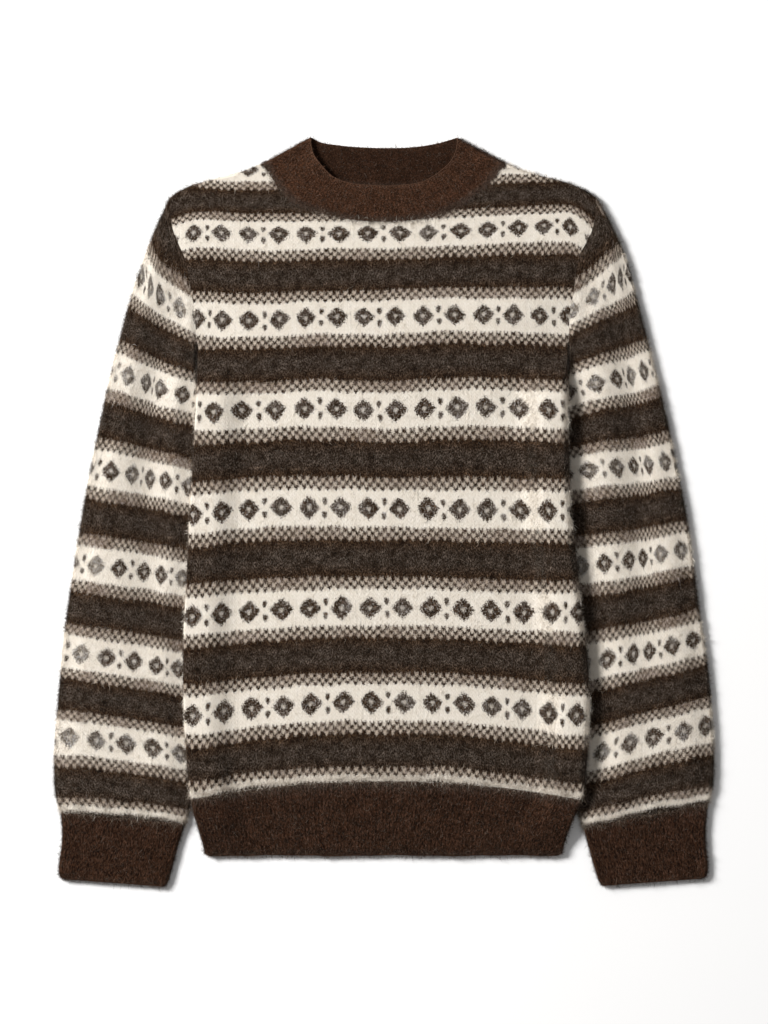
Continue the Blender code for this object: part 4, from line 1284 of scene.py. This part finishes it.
def chain(name, edge, before, material):
    """Bound-off chain along a closed edge: a ring of yarn, thick in each stitch's middle. Its
    circles stand across the edge, one axis away from the cloth."""
    ahead = np.roll(edge, -1, axis=0) - np.roll(edge, 1, axis=0)
    ahead /= np.linalg.norm(ahead, axis=1)[:, None]
    away = edge - before
    away -= ahead * (away * ahead).sum(axis=1)[:, None]
    away /= np.linalg.norm(away, axis=1)[:, None]
    run = distances(edge)
    radius = 0.3 + 0.2 * np.abs(np.sin(math.pi * run / CHAIN_PITCH))
    turn = np.linspace(0, 2 * math.pi, CHAIN_SIDES, endpoint=False)[:, None]
    circle = np.cos(turn) * away[:, None] + np.sin(turn) * np.cross(ahead, away)[:, None]
    points = edge[:, None] + circle * radius[:, None, None]
    index = np.arange(len(edge) * CHAIN_SIDES).reshape(len(edge), CHAIN_SIDES)
    index = np.pad(index, ((0, 1), (0, 1)), mode="wrap")
    faces = quads(index).reshape(-1, 4)
    steps = np.arange(len(edge) + 1)[:, None] / len(edge), np.arange(CHAIN_SIDES + 1) / CHAIN_SIDES
    sheet = np.stack(np.broadcast_arrays(*steps), -1) * 0.98 + 0.01
    layout = quads(sheet).reshape(-1, 4, 2)
    maps = {"stitches": layout * (CHAIN_PITCH * 40, 1), "OFBake": layout}
    piece = put_mesh(name, points.reshape(-1, 3), faces, maps, material)
    piece.data.polygons.foreach_set("use_smooth", np.ones(len(faces), bool))
    return piece


# The chain's paler brown is a painted highlight along the band's free edge.
bound_off, _ = matt("brown_yarn_painted_highlight", "#4E382B", specular=0.05)
bound_edge = chain("neckband_chain", band[0][-1], band[0][-2], bound_off)
dress(
    neckband, "neckband",
    [band_hairs, inside_hairs, neckline_fibres, bound_edge],
)

# ---- Floor, light and camera ---------------------------------------------------------------------
# A plain pale floor, broad soft light from the upper left, and the camera straight above.

floor_mesh = floor.data
half = 3.0
square = [(-half, -half, 0), (half, -half, 0), (half, half, 0), (-half, half, 0)]
floor_mesh.from_pydata(square, [], [(0, 1, 2, 3)])
floor_paint, _ = matt("pale_matt_floor", "#FAF9F8", 0.9, 0.5)
floor_mesh.materials.append(floor_paint)
bpy.context.scene.collection.objects.link(floor)

world = bpy.data.worlds.new("studio")
world.use_nodes = True
background = world.node_tree.nodes["Background"]
background.inputs["Color"].default_value = (1, 1, 1, 1)
background.inputs["Strength"].default_value = 0.25
bpy.context.scene.world = world


def softbox(name, place, aim, size, power):
    """A square area light at a place, turned to face a point."""
    light = bpy.data.lights.new(name, "AREA")
    light.size = size
    light.energy = power
    lamp = bpy.data.objects.new(name, light)
    lamp.location = place
    direction = np.array(aim, float) - np.array(place, float)
    tilt = math.atan2(np.hypot(*direction[:2]), -direction[2])
    lamp.rotation_euler = (tilt, 0, math.atan2(direction[0], -direction[1]) + math.pi)
    bpy.context.scene.collection.objects.link(lamp)


softbox("key_softbox", (-4.0, 1.8, 2.75), (0, 0, 0), 1.5, 485)

PIXEL = 0.9275 * MM  # one pixel of the 768 x 1024 image at the cloth
CAMERA_HEIGHT, SENSOR = 6.0, 24.0
camera_data = bpy.data.cameras.new("camera")
camera_data.sensor_fit = "VERTICAL"
camera_data.sensor_height = SENSOR
camera_data.lens = SENSOR * CAMERA_HEIGHT / (1024 * PIXEL)
camera_data.clip_end = 20.0
camera = bpy.data.objects.new("camera", camera_data)
camera.location = (0, 0, CAMERA_HEIGHT + 0.008)
bpy.context.scene.collection.objects.link(camera)
bpy.context.scene.camera = camera
bpy.context.scene.view_settings.view_transform = "Standard"
